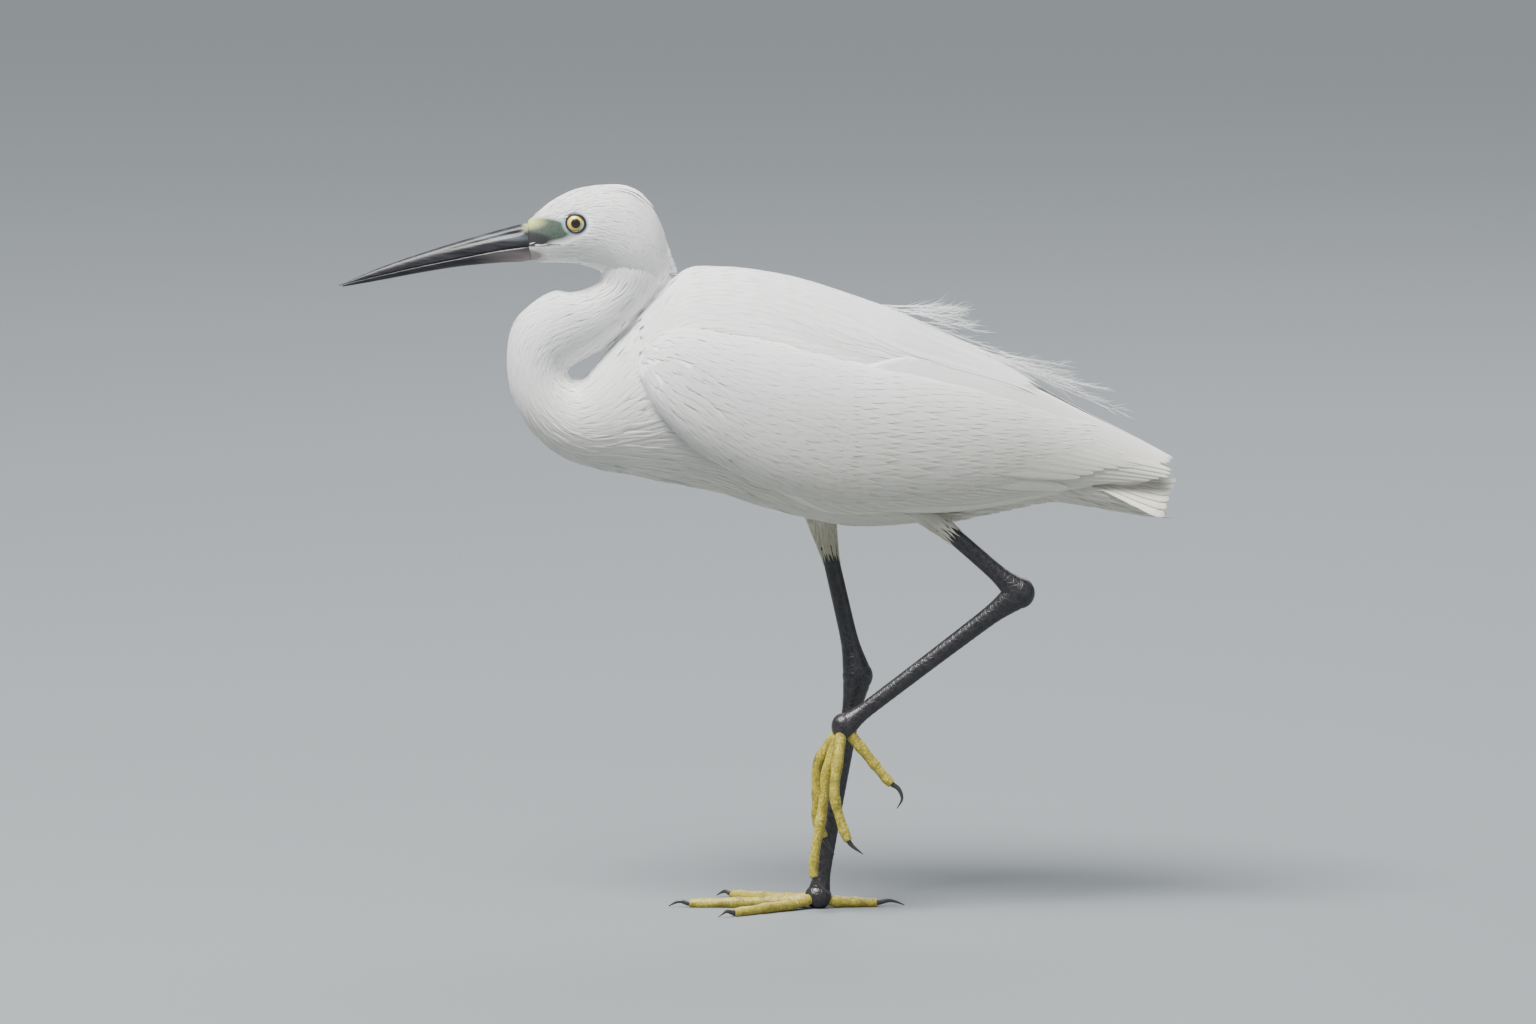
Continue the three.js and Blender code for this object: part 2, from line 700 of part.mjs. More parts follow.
function plumes() {
  return PLUME_GROUPS.flatMap(({ count, root, spread, tip, arch }) =>
    Array.from({ length: count }, (_, i) => {
      const t = i / (count - 1);
      const phi = 90 + lerp(-spread, spread, t);
      const reach = ((i * 3) % count) / (count - 1);
      return plume(
        [root[0] + varied(PLUME.wander), phi, root[1]],
        [lerp(tip[0][0], tip[1][0], reach), lerp(90, phi, 0.8), lerp(tip[0][1], tip[1][1], reach)],
        arch,
      );
    }),
  );
}

// Tail: a short core behind the vent and twelve feathers laid in a shallow roof.
const TAIL = { root: 116, tip: 160.5, outerTip: 155, half: 4.3, step: 0.7, shingle: 0.4 };
const TAIL_CORE = [
  { x: 112.3, top: 218.6, bottom: 187.4, half: 11.8 },
  { x: 120, top: 211, bottom: 186.6, half: 9.5 },
  { x: 128, top: 203.6, bottom: 187.4, half: 7 },
  { x: 134, top: 198.6, bottom: 190.5, half: 4 },
];
const TAIL_CORE_SLICES = 5;
const TAIL_CORE_SIDES = 16;

// Height of the tail's shallow roof: it falls towards the tip and away from the middle.
function tailRoof(x, y) {
  const t = (x - TAIL.root) / (TAIL.tip - TAIL.root);
  const ridge = lerp(203.5, 194.6, t);
  const fall = lerp(6, 14.5, t);
  return ridge - fall * (Math.abs(y) / 15) ** 1.5;
}
function tailCore() {
  const rings = [];
  for (let k = 0; k <= TAIL_CORE_SLICES; k += 1) {
    const x = lerp(TAIL_CORE[0].x, TAIL_CORE.at(-1).x, k / TAIL_CORE_SLICES);
    const top = along(TAIL_CORE, "top", x);
    const bottom = along(TAIL_CORE, "bottom", x);
    const half = along(TAIL_CORE, "half", x);
    const ring = [];
    for (let j = 0; j < TAIL_CORE_SIDES; j += 1) {
      const a = (j / TAIL_CORE_SIDES) * 2 * Math.PI;
      ring.push(point(x, half * Math.cos(a), (top + bottom) / 2 + ((top - bottom) / 2) * Math.sin(a)));
    }
    rings.push(ring);
  }
  return loft(rings);
}
function tailFeather(index) {
  const side = Math.sign(index);
  const rank = Math.abs(index);
  const tip = lerp(TAIL.tip, TAIL.outerTip, (rank - 1) / 5);
  const upper = [];
  const lower = [];
  for (let i = 0; i <= VANE.steps; i += 1) {
    const t = i / VANE.steps;
    const x = lerp(TAIL.root + rank * 0.5, tip, t);
    const middle = side * (rank - 0.5) * lerp(0.9, 2.5, t ** 0.8);
    const reach = lerp(0.55, 1, t) * TAIL.half * VANE_OUTLINE[i];
    const rows = [[], []];
    for (const u of [-1, 1]) {
      const y = middle + u * reach;
      const level = tailRoof(x, y) - rank * TAIL.step + side * u * TAIL.shingle;
      rows[0].push(point(x, y, level + VANE.thick / 2));
      rows[1].push(point(x, y, level - VANE.thick / 2));
    }
    upper.push(rows[0]);
    lower.push(rows[1]);
  }
  return plate(upper, lower);
}

function curveThrough(points) {
  return new THREE.CatmullRomCurve3(points.map((p) => point(...p)), false, "centripetal");
}

// A tube along part of a curve, from one length to another, with its sections slimmer across.
function limb(curve, [start, end], radiusAt, options = {}) {
  const { sides = 10, steps = 8, slim = SIDE_SLIM, floor = null } = options;
  const total = curve.getLength();
  const rings = [];
  for (let k = 0; k <= steps; k += 1) {
    const t = k / steps;
    const share = lerp(start, end, t) / total;
    const centre = curve.getPointAt(share);
    const tangent = curve.getTangentAt(share);
    const side = floor === null ? point(0, 1, 0) : point(-tangent.y, tangent.x, 0).normalize();
    const rise = tangent.clone().cross(side).normalize();
    const across = rise.clone().cross(tangent).normalize();
    const radius = radiusAt(t);
    const ring = [];
    for (let j = 0; j < sides; j += 1) {
      const a = ((j + 0.5) / sides) * 2 * Math.PI;
      const p = centre.clone().addScaledVector(across, radius * slim * Math.cos(a));
      p.addScaledVector(rise, radius * Math.sin(a));
      if (floor !== null) p.z = Math.max(p.z, floor);
      ring.push(p);
    }
    rings.push(ring);
  }
  return loft(rings);
}

// A small swelling centred at a share of the length.
const swell = (t, at, width, amount) => amount * Math.exp(-(((t - at) / width) ** 2));

// Thigh, shank with the ankle, and tarsus of one leg. Returns a maker of its foot knuckle with a margin.
const ANKLE_SCALE = [1.04, 0.82, 1.08];
const SHANK_INTO_ANKLE = 2;
const SHANK_FLARE = 0.12;
function addLeg(side, trunkKeepOut) {
  const leg = LEGS[side];
  const upperLeg = curveThrough([leg.hip, leg.feathered, leg.ankle]);
  const featherEdge = point(...leg.hip).distanceTo(point(...leg.feathered));
  const [thighTop, thighEnd] = leg.thighRadius;
  const thighRadius = (t) => lerp(thighTop, thighEnd, t ** 0.8);
  const thigh = limb(upperLeg, [0, featherEdge], thighRadius, { steps: 5, slim: 0.8 });
  addNode(`thigh_${side}`, thigh.subtract(trunkKeepOut), MATERIALS.plumage);

  const shankSpan = [featherEdge + GAP, upperLeg.getLength() - SHANK_INTO_ANKLE];
  const shankRadius = (t) => SHANK_RADIUS * (1 + SHANK_FLARE * t * t);
  const shankTube = (extra) => limb(upperLeg, shankSpan, (t) => shankRadius(t) + extra, { steps: 5 });
  const ankle = (extra) => ball(leg.ankle, ANKLE_RADIUS + extra, ANKLE_SCALE, [12, 6]);
  addNode(`shank_${side}`, unite([shankTube(0), ankle(0)]), MATERIALS.leg);

  const knuckle = (extra) => ball(leg.knuckle, KNUCKLE[side].radius + extra, KNUCKLE[side].scale, [12, 6]);
  const lowerLeg = curveThrough([leg.ankle, leg.knuckle]);
  const tarsusRadius = (t) =>
    through([TARSUS_RADIUS.top, TARSUS_RADIUS.middle, TARSUS_RADIUS.low], t * 2) + swell(t, 0.02, 0.1, 1);
  const tarsus = limb(lowerLeg, [0, lowerLeg.getLength()], tarsusRadius, { steps: 8 });
  const keepOut = unite([ankle(CLEAR), shankTube(CLEAR), knuckle(CLEAR)]);
  addNode(`tarsus_${side}`, tarsus.subtract(keepOut), MATERIALS.leg);
  return knuckle;
}

// Toes with swollen joints, and their claws. Pieces that lean together near the knuckle are cut clear.
const TOE_JOINTS = [0.3, 0.62, 0.9];
function toeRadius(t) {
  const plain = lerp(TOE_RADIUS.base, TOE_RADIUS.tip, t);
  return plain + TOE_JOINTS.reduce((sum, at) => sum + swell(t, at, 0.06, 0.3), 0);
}
function addFoot(side, knuckle, toes, floor) {
  const foot = knuckle(0);
  addNode(`foot_${side}`, floor === null ? foot : foot.trimByPlane([0, 0, 1], floor), MATERIALS.leg);
  const keepOuts = [knuckle(CLEAR)];
  for (const name of ["middle", "inner", "outer", "hind"]) {
    const { path, claw } = toes[name];
    const curve = curveThrough(path);
    const length = curve.getLength();
    const toeSpan = [0, length - claw - GAP];
    const toeForm = { sides: 7, steps: 9, slim: 0.95, floor };
    const toe = (extra) => limb(curve, toeSpan, (t) => toeRadius(t) + extra, toeForm);
    addNode(`toe_${side}_${name}`, toe(0).subtract(unite(keepOuts)), MATERIALS.toe);
    keepOuts.push(toe(CLEAR));
    const clawRadius = (t) => lerp(CLAW_RADIUS.base, CLAW_RADIUS.tip, t ** 1.2);
    const clawSpan = [length - claw, length];
    const clawForm = { sides: 6, steps: 5, slim: 0.75, floor };
    addNode(`claw_${side}_${name}`, limb(curve, clawSpan, clawRadius, clawForm), MATERIALS.horn);
  }
}

// The standing foot's toes, laid out on the floor from their bearings. Bearing 0 points forwards.
function groundToes() {
  const toes = {};
  for (const [name, { bearing, length, claw }] of Object.entries(GROUND_TOES)) {
    const a = radians(bearing);
    const forward = [-Math.cos(a), Math.sin(a)];
    const at = (distance, height) => [forward[0] * distance, forward[1] * distance, height];
    const { knuckle, joint, tip } = GROUND_TOE_HEIGHT;
    const toe = [at(2, knuckle), at(length * 0.3, joint + 0.6), at(length * 0.65, joint), at(length, tip)];
    toes[name] = { claw, path: [...toe, at(length + claw * 0.5, tip + 0.9), at(length + claw, 0.5)] };
  }
  return toes;
}

// Head, bill and eyes.
const headPlane = neckFrame(HEAD_JOINT);
const headAcross = headPlane.back.clone().sub(headPlane.front).normalize();
const headNormal = point(-headAcross.z, 0, headAcross.x);
const headOffset = headNormal.dot(headPlane.front) + GAP;
const skull = unite([headShell(0), neckSolid(0, HEAD_JOINT + NECK_STEP, 0)]);
let head = skull.trimByPlane(headNormal.toArray(), headOffset);
head = unite([head, lidRing(-1), lidRing(1)]);
for (const side of [-1, 1]) {
  const centre = [EYE.x, side * EYE.y, EYE.z];
  head = head.subtract(ball(centre, EYE.radius + GAP)).subtract(mouthGroove(side));
}
addNode("head", head, MATERIALS.plumage);
for (const [name, side] of [["left", -1], ["right", 1]]) {
  addNode(`eye_${name}`, ball([EYE.x, side * EYE.y, EYE.z], EYE.radius), MATERIALS.eye);
}
const nostrilScale = [1, 0.6, NOSTRIL.height / NOSTRIL.length];
const nostrils = [-1, 1].map((side) =>
  ball([NOSTRIL.x, side * NOSTRIL.y, NOSTRIL.z], NOSTRIL.length / 2, nostrilScale, [8, 4]),
);
addNode("bill_upper", jaw("culmen", 0).subtract(unite(nostrils)), MATERIALS.horn);
addNode("bill_lower", jaw("keel", LOWER_BILL_SHORTER), MATERIALS.horn);

// Neck in three lengths.
const neck = NECK_JOINTS.reduce(
  (solid, t) => solid.subtract(neckSlab(t)),
  neckSolid(HEAD_JOINT, NECK.length - 1, 0),
);
const lengths = neck.decompose().sort((a, b) => b.boundingBox().max[2] - a.boundingBox().max[2]);
["neck_upper", "neck_middle", "neck_lower"].forEach((name, i) => {
  addNode(name, lengths[i], MATERIALS.plumage);
});

// Trunk, hollowed where the drawn-back neck and head lie against it.
const neckKeepOut = unite([neckSolid(0, NECK.length - 1.5, CLEAR), headShell(CLEAR)]);
addNode("torso", trunkSolid(0).subtract(neckKeepOut), MATERIALS.plumage);
const trunkKeepOut = trunkSolid(CLEAR);

// Wings: core and tiers fused and cleared of the trunk, the saddle and the midline, then mirrored.
const PARTING_GAP = 0.5;
let wing = unite([shell(WING_CORE, 12), ...WING_TIERS.flatMap(tier)]);
wing = wing.subtract(trunkKeepOut).subtract(partingCap(PARTING_GAP));
wing = largest(wing.trimByPlane([0, -1, 0], MIDLINE.gap));
addNode("wing_left", wing, MATERIALS.plumage);
addNode("wing_right", wing.mirror([0, 1, 0]), MATERIALS.plumage);

// Scapular feathers and plumes over the back.
const leftScapulars = unite(SCAPULAR_TIERS.flatMap((t) => tier({ ...t, outline: LANCE_OUTLINE })));
const saddle = unite([shell(SADDLE, 5), bothSides(leftScapulars)]).intersect(partingCap(0));
addNode("scapulars", unite([saddle, ...plumes()]).subtract(trunkKeepOut), MATERIALS.plumage);

// Tail.
const tailFeathers = [-6, -5, -4, -3, -2, -1, 1, 2, 3, 4, 5, 6].map(tailFeather);
addNode("tail", unite([tailCore(), ...tailFeathers]), MATERIALS.plumage);

// Legs and feet.
addFoot("right", addLeg("right", trunkKeepOut), groundToes(), 0);
addFoot("left", addLeg("left", trunkKeepOut), RAISED_TOES, null);

export default model;
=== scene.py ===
"""Little egret, life size, dressed over its solids: skin, feathers, plumes, bill, eyes, legs and feet.

Sizes are in millimetres and are scaled to metres when a mesh is made. The bird faces -X, its left side is
towards -Y, and the origin is under the sole of the standing right foot.
"""

from functools import partial

import bpy
import numpy as np
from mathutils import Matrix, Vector


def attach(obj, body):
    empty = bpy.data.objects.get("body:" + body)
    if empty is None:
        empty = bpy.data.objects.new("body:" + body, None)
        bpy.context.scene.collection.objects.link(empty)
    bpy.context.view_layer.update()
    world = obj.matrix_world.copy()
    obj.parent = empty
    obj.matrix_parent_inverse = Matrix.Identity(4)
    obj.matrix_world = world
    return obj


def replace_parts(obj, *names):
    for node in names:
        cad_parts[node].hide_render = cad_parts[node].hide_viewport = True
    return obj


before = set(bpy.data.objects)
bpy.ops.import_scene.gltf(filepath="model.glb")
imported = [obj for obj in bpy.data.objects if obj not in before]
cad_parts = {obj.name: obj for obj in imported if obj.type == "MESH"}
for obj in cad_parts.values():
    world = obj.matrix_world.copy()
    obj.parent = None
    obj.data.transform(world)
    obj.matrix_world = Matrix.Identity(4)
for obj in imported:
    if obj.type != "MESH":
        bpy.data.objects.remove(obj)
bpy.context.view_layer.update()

MM = 0.001
rng = np.random.default_rng(11)

# Stations of the body, as in the solids. The folded wings and the back lie on DRESS.
TRUNK = {
    "x": [-97.4, -86.4, -75.2, -67, -59.4, -43.6, -25.7, -7.7, 14.8, 37.4, 59.9, 82.4, 100.4, 112],
    "top": [249.5, 261.3, 274.9, 285.4, 289, 290.4, 288.6, 284.5, 276.6, 266, 254, 240, 227, 219],
    "bottom": [199.9, 198.1, 195.9, 193.9, 192.7, 189.5, 183.6, 178.6, 174.4, 175, 177.7, 182.2, 186, 187.4],
    "half": [21, 25, 28.5, 31, 32.5, 35, 36.5, 37.5, 37.5, 35.5, 31.5, 25, 17.5, 12],
}
DRESS = {
    "x": [-85, -75.2, -59.4, -43.6, -25.7, -7.7, 14.8, 37.4, 59.9, 82.4, 100.4, 118, 132, 150, 166],
    "centre": [
        230.5, 235.4, 240.8, 239.9, 236.1, 231.6, 225.6, 221.6, 217.6, 214, 210.4, 206.4, 203, 197.6, 192.6,
    ],
    "high": [34, 40.3, 49, 51.3, 53.4, 53.9, 52.2, 47.4, 41, 33.6, 26.4, 20.4, 16.6, 12.6, 8.8],
    "half": [27, 29.6, 33.6, 36.1, 37.6, 38.6, 38.6, 36.9, 33.3, 27.6, 21.4, 16, 13, 10.5, 9],
}
# Below mid height the sections of DRESS follow this power of an ellipse's width.
DRAPE = 0.7
NECK = {
    "front_x": [
        -100, -97.2, -98.5, -104.4, -111.2, -118.8, -129.2, -136.8, -139.3, -136.8, -128.2, -114.8,
        -97.7, -80,
    ],
    "front_z": [297, 288.6, 284.5, 281.3, 279.9, 280.4, 274, 265, 249.5, 232.7, 217.2, 205.9, 199.9, 197],
    "back_x": [
        -66.4, -67, -72.4, -79.7, -87.4, -97.7, -106.7, -111.4, -111.9, -110.4, -107.5, -103.6, -97.7, -80,
    ],
    "back_z": [298, 289.5, 278.6, 269.8, 261.4, 253.4, 248.8, 245.6, 243.9, 241.8, 240.8, 242.2, 249.5, 269],
    "half": [12.4, 12.2, 11.8, 11.8, 12.2, 12.6, 12.8, 13, 13.2, 13.8, 15.2, 17.6, 21, 27],
}
HEAD = {
    "x": [-130, -125, -120.2, -113.4, -106.7, -95.4, -86, -79.7, -72.9, -69, -66.6],
    "top": [313, 316.6, 320.6, 324.5, 327, 328.5, 327.3, 324, 316.4, 308, 299.5],
    "bottom": [293.9, 293.8, 293.7, 293.6, 293, 289, 284, 281, 281, 283, 288],
    "half": [5.9, 7, 8.3, 10.5, 12.3, 13.9, 14.2, 13.6, 11.5, 8.6, 3.6],
}
# The bill's x is counted forwards.
BILL = {
    "x": [130.3, 142.7, 160.7, 178.7, 196.7, 207.5, 214.7],
    "culmen": [311.6, 308.3, 303.1, 297.4, 291, 286.4, 283.2],
    "mouth": [301.3, 299.5, 295.8, 292, 287.7, 284.9, 282.8],
    "keel": [293.9, 293.4, 291.7, 288.8, 285.4, 283.5, 282.3],
    "half": [5.6, 4.9, 3.9, 2.9, 1.8, 0.9, 0.25],
}
# Swellings over the folded body between an upper and a lower edge: the wing's arm, and the whole wing.
WING_CORE = {
    "x": [-80.2, -77.5, -72, -60, -43.6, -22, 0, 18, 34],
    "upper": [29, 36, 38, 33, 30, 29.5, 30, 31, 30],
    "lower": [21, 10, -8, -27, -39, -45, -44, -34, -20],
    "thick": [0.6, 4.2, 6.6, 8, 8.6, 8.4, 7.2, 5.4, 2.6],
}
WING_TOP = {
    "x": [-80.2, -77.5, -72, -60, -43.6, -22, 0, 18, 34, 60, 90, 112, 135, 160],
    "upper": [29, 36, 38, 33, 30, 29.5, 30, 31, 33, 38, 43, 54, 76, 84],
    "lower": [21, 10, -8, -27, -39, -45, -45, -43, -42, -41, -38, -34, -16, 20],
    "thick": [0.6, 4.2, 6.6, 8, 8.6, 8.4, 7.5, 6.3, 5.1, 3.6, 2.8, 2.4, 2, 1.6],
}
EYE = {"x": -108.2, "y": 8.0, "z": 312.7, "radius": 5.0}
LEGS = {
    "right": {
        "hip": (-3, 15.5, 196),
        "feathered": (5.4, 14, 161),
        "ankle": (18.4, 9.5, 104.5),
        "knuckle": (0.6, 0.3, 5.2),
        "thigh": (11, 4.3),
        "knob": (5.8, (1.05, 0.9, 1)),
    },
    "left": {
        "hip": (26, -17.5, 200),
        "feathered": (57, -18, 175.8),
        "ankle": (91, -18, 146.2),
        "knuckle": (12, -18, 85.6),
        "thigh": (9.5, 4.4),
        "knob": (5.6, (1, 0.9, 1.1)),
    },
}
# Toes with the length of the claw: raised ones as points, those on the floor with a bearing and a length.
RAISED_TOES = {
    "inner": (9, [(10, -16.4, 84), (0.6, -13, 68), (0, -11.6, 51.4), (-0.4, -10.8, 43.2), (3, -10.4, 34.2),
                  (7.8, -10.2, 25.9)]),
    "middle": (11, [(10, -18, 83.6), (4.4, -17.6, 64), (2.2, -17.4, 46), (-1.4, -17.4, 24),
                    (-0.6, -17.4, 15.3), (6, -17.4, 8.9)]),
    "outer": (9, [(11, -20, 83.6), (8.6, -23.6, 66), (7.8, -25, 56), (9.9, -25.4, 46), (14.4, -25.6, 34.2),
                  (20.6, -25.6, 28.6)]),
    "hind": (13.5, [(13.6, -18.4, 83.6), (20.6, -19, 75), (32, -19.2, 61), (36.6, -19.2, 57.4),
                    (38.2, -19.2, 52.8), (36, -19.2, 48.4)]),
}
GROUND_TOES = {"inner": (9, -33, 44), "middle": (10, 2, 57), "outer": (9, 36, 47), "hind": (13, 172, 27)}


# Curves and surfaces


def hermite(knots, values, x):
    """Cubic curve through the values at the knots, each slope the one between its two neighbours."""
    knots = np.asarray(knots, float)
    values = np.asarray(values, float)
    count = len(knots)
    lo = np.maximum(np.arange(count) - 1, 0)
    hi = np.minimum(np.arange(count) + 1, count - 1)
    slope = (values[hi] - values[lo]) / (knots[hi] - knots[lo])
    x = np.clip(x, knots[0], knots[-1])
    i = np.clip(np.searchsorted(knots, x, side="right") - 1, 0, count - 2)
    span = knots[i + 1] - knots[i]
    f = (x - knots[i]) / span
    start = (2 * f**3 - 3 * f**2 + 1) * values[i] + (f**3 - 2 * f**2 + f) * span * slope[i]
    return start + (3 * f**2 - 2 * f**3) * values[i + 1] + (f**3 - f**2) * span * slope[i + 1]


def along(table, key, x):
    """Value of one key of a station table at x."""
    return hermite(table["x"], table[key], x)


def stack(x, y, z):
    """Joins three arrays into one array of points."""
    return np.stack(np.broadcast_arrays(x, y, z), axis=-1)


def barrel(table, x, phi, lift):
    """An ellipse at each x of a table, phi in degrees up from the left side, grown by the lift."""
    a = np.radians(phi)
    top, bottom = along(table, "top", x), along(table, "bottom", x)
    half = along(table, "half", x) + lift
    return stack(x, -half * np.cos(a), (top + bottom) / 2 + ((top - bottom) / 2 + lift) * np.sin(a))


def dress(x, phi, lift):
    """Folded wings and back: an ellipse at each x, hanging straighter than an ellipse below mid height."""
    a = np.radians(phi)
    cos = np.cos(a)
    spread = np.where(np.sin(a) < 0, np.sign(cos) * np.abs(cos) ** DRAPE, cos)
    half = along(DRESS, "half", x) + lift
    return stack(x, -half * spread, along(DRESS, "centre", x) + (along(DRESS, "high", x) + lift) * np.sin(a))


def mirrored(place):
    """The same surface on the right side."""
    return lambda u, v, lift: place(u, v, lift) * np.array([1, -1, 1])


def swollen(table, x, v, lift):
    """A swelling on the folded wings: v runs from its upper edge, 0, to its lower edge, 100."""
    share = v / 100
    phi = along(table, "upper", x) * (1 - share) + along(table, "lower", x) * share
    inside = np.clip(1 - np.abs(2 * share - 1) ** 3, 0, 1)
    return dress(x, phi, 1.1 + along(table, "thick", x) * inside**0.55 + lift)


# The trunk, the outer face of the wing's arm, and that of the whole wing, which slopes down to its tip.
trunk = partial(barrel, TRUNK)
wing_bed = partial(swollen, WING_CORE)
wing_top = partial(swollen, WING_TOP)


def neck(t, a, lift):
    """Neck: an ellipse at each station t, angle a in degrees from the throat side, grown by the lift."""
    stations = np.arange(len(NECK["half"]))
    at = {key: hermite(stations, NECK[key], t) for key in NECK}
    centre_x, centre_z = (at["front_x"] + at["back_x"]) / 2, (at["front_z"] + at["back_z"]) / 2
    reach_x, reach_z = at["front_x"] - centre_x, at["front_z"] - centre_z
    grow = 1 + lift / np.hypot(reach_x, reach_z)
    cos, sin = np.cos(np.radians(a)), np.sin(np.radians(a))
    return stack(centre_x + reach_x * grow * cos, (at["half"] + lift) * sin, centre_z + reach_z * grow * cos)


def head(x, a, lift):
    """Head: egg-shaped sections, angle a in degrees up from the right side, grown by the lift."""
    top, bottom = along(HEAD, "top", x), along(HEAD, "bottom", x)
    cos, sin = np.cos(np.radians(a)), np.sin(np.radians(a))
    half = along(HEAD, "half", x) + lift
    middle, high = (top + bottom) / 2, (top - bottom) / 2 + lift
    return stack(x, half * np.sign(cos) * np.abs(cos) ** 0.9, middle + high * sin)


# Meshes


def new_piece(name, points, faces, material, slot):
    """One mesh object from points in millimetres and lists of face arrays."""
    mesh = bpy.data.meshes.new(name)
    listed = [face for group in faces for face in np.asarray(group).tolist()]
    mesh.from_pydata((np.asarray(points).reshape(-1, 3) * MM).tolist(), [], listed)
    mesh.materials.append(material)
    mesh.polygons.foreach_set("use_smooth", np.ones(len(mesh.polygons), bool))
    piece = bpy.data.objects.new(name, mesh)
    bpy.context.scene.collection.objects.link(piece)
    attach(piece, "root")
    return piece


def set_uv(piece, name, uv):
    """Gives a piece a UV map from one pair of numbers per point."""
    mesh = piece.data
    corner = np.empty(len(mesh.loops), int)
    mesh.loops.foreach_get("vertex_index", corner)
    layer = mesh.uv_layers.new(name=name)
    layer.data.foreach_set("uv", uv[corner].ravel())


def set_tone(piece, tone):
    """Gives a piece a point attribute: a shade for each feather, and the share along it."""
    rgba = np.ones((len(tone), 4))
    rgba[:, :2] = tone
    layer = piece.data.attributes.new("Tone", "FLOAT_COLOR", "POINT")
    layer.data.foreach_set("color", rgba.ravel())


def volume_of(points, faces):
    """Signed volume inside closed faces, split into triangles from their first corners."""
    total = 0.0
    for group in faces:
        group = np.asarray(group)
        for k in range(1, group.shape[1] - 1):
            a, b, c = points[group[:, 0]], points[group[:, k]], points[group[:, k + 1]]
            total += np.einsum("ij,ij->i", a, np.cross(b, c)).sum() / 6
    return total


def facing_out(points, faces):
    """The faces, turned over where they enclose a negative volume."""
    return faces if volume_of(points, faces) > 0 else [group[:, ::-1] for group in faces]


def ring_quads(rings, sides):
    """Point numbers of a stack of closed rings, and the quads between them."""
    index = np.arange(rings * sides).reshape(rings, sides)
    ahead = np.roll(index, -1, axis=1)
    return index, np.stack([index[:-1], ahead[:-1], ahead[1:], index[1:]], -1).reshape(-1, 4)


def loft(grid):
    """Closed solid through rings: quads between them, and a fan to one middle point at each end."""
    rings, sides = grid.shape[:2]
    points = np.concatenate([grid.reshape(-1, 3), [grid[0].mean(0)], [grid[-1].mean(0)]])
    index, quads = ring_quads(rings, sides)
    first, last = rings * sides, rings * sides + 1
    near = np.stack([np.full(sides, first), np.roll(index[0], -1), index[0]], -1)
    far = np.stack([np.full(sides, last), index[-1], np.roll(index[-1], -1)], -1)
    return points, facing_out(points, [quads, np.concatenate([near, far])])


def joined(parts):
    """Several meshes as one set of points and faces."""
    points, faces, start = [], [], 0
    for part_points, part_faces in parts:
        points.append(part_points)
        faces += [np.asarray(group) + start for group in part_faces]
        start += len(part_points)
    return np.concatenate(points), faces


def round_angles(count):
    """Evenly spaced angles in degrees, once round, as one row."""
    return np.linspace(0, 360, count, endpoint=False)[None]


def path_points(points, count):
    """Evenly spaced points on a smooth curve through a few points, with its directions."""
    points = np.asarray(points, float)
    knots = np.r_[0, np.cumsum(np.linalg.norm(np.diff(points, axis=0), axis=1) ** 0.5)]
    fine = np.linspace(0, knots[-1], 400)
    curve = np.stack([hermite(knots, points[:, k], fine) for k in range(3)], -1)
    run = np.r_[0, np.cumsum(np.linalg.norm(np.diff(curve, axis=0), axis=1))]
    even = np.linspace(0, run[-1], count)
    centre = np.stack([np.interp(even, run, curve[:, k]) for k in range(3)], -1)
    tangent = np.gradient(centre, axis=0)
    return centre, tangent / np.linalg.norm(tangent, axis=1, keepdims=True), run[-1]


def tube(centre, tangent, radius, sides=24, slim=0.84, bump=None, floor=None):
    """Rings round a path: the radius may change along it and, by the bump, round it. A floor flattens it."""
    side = np.array([0, 1.0, 0]) + 0 * tangent
    if floor is not None:
        side = np.stack([-tangent[:, 1], tangent[:, 0], 0 * tangent[:, 0]], -1)
        side /= np.linalg.norm(side, axis=1, keepdims=True)
    rise = np.cross(tangent, side)
    rise /= np.linalg.norm(rise, axis=1, keepdims=True)
    across = np.cross(rise, tangent)
    a = np.linspace(0, 2 * np.pi, sides, endpoint=False)
    size = radius[:, None] * (1 if bump is None else bump(np.linspace(0, 1, len(radius))[:, None], a[None]))
    size = np.broadcast_to(size, (len(radius), sides))[..., None]
    grid = centre[:, None] + size * (
        slim * np.cos(a)[None, :, None] * across[:, None] + np.sin(a)[None, :, None] * rise[:, None]
    )
    if floor is not None:
        grid[..., 2] = np.maximum(grid[..., 2], floor)
    return grid


# Materials


def material(name, colour, roughness, **extra):
    """A principled material, with further sockets set by name."""
    made = bpy.data.materials.new(name)
    made.use_nodes = True
    shader = made.node_tree.nodes["Principled BSDF"]
    shader.inputs["Base Color"].default_value = (*colour, 1)
    shader.inputs["Roughness"].default_value = roughness
    for socket, value in extra.items():
        shader.inputs[socket.replace("_", " ")].default_value = value
    return made


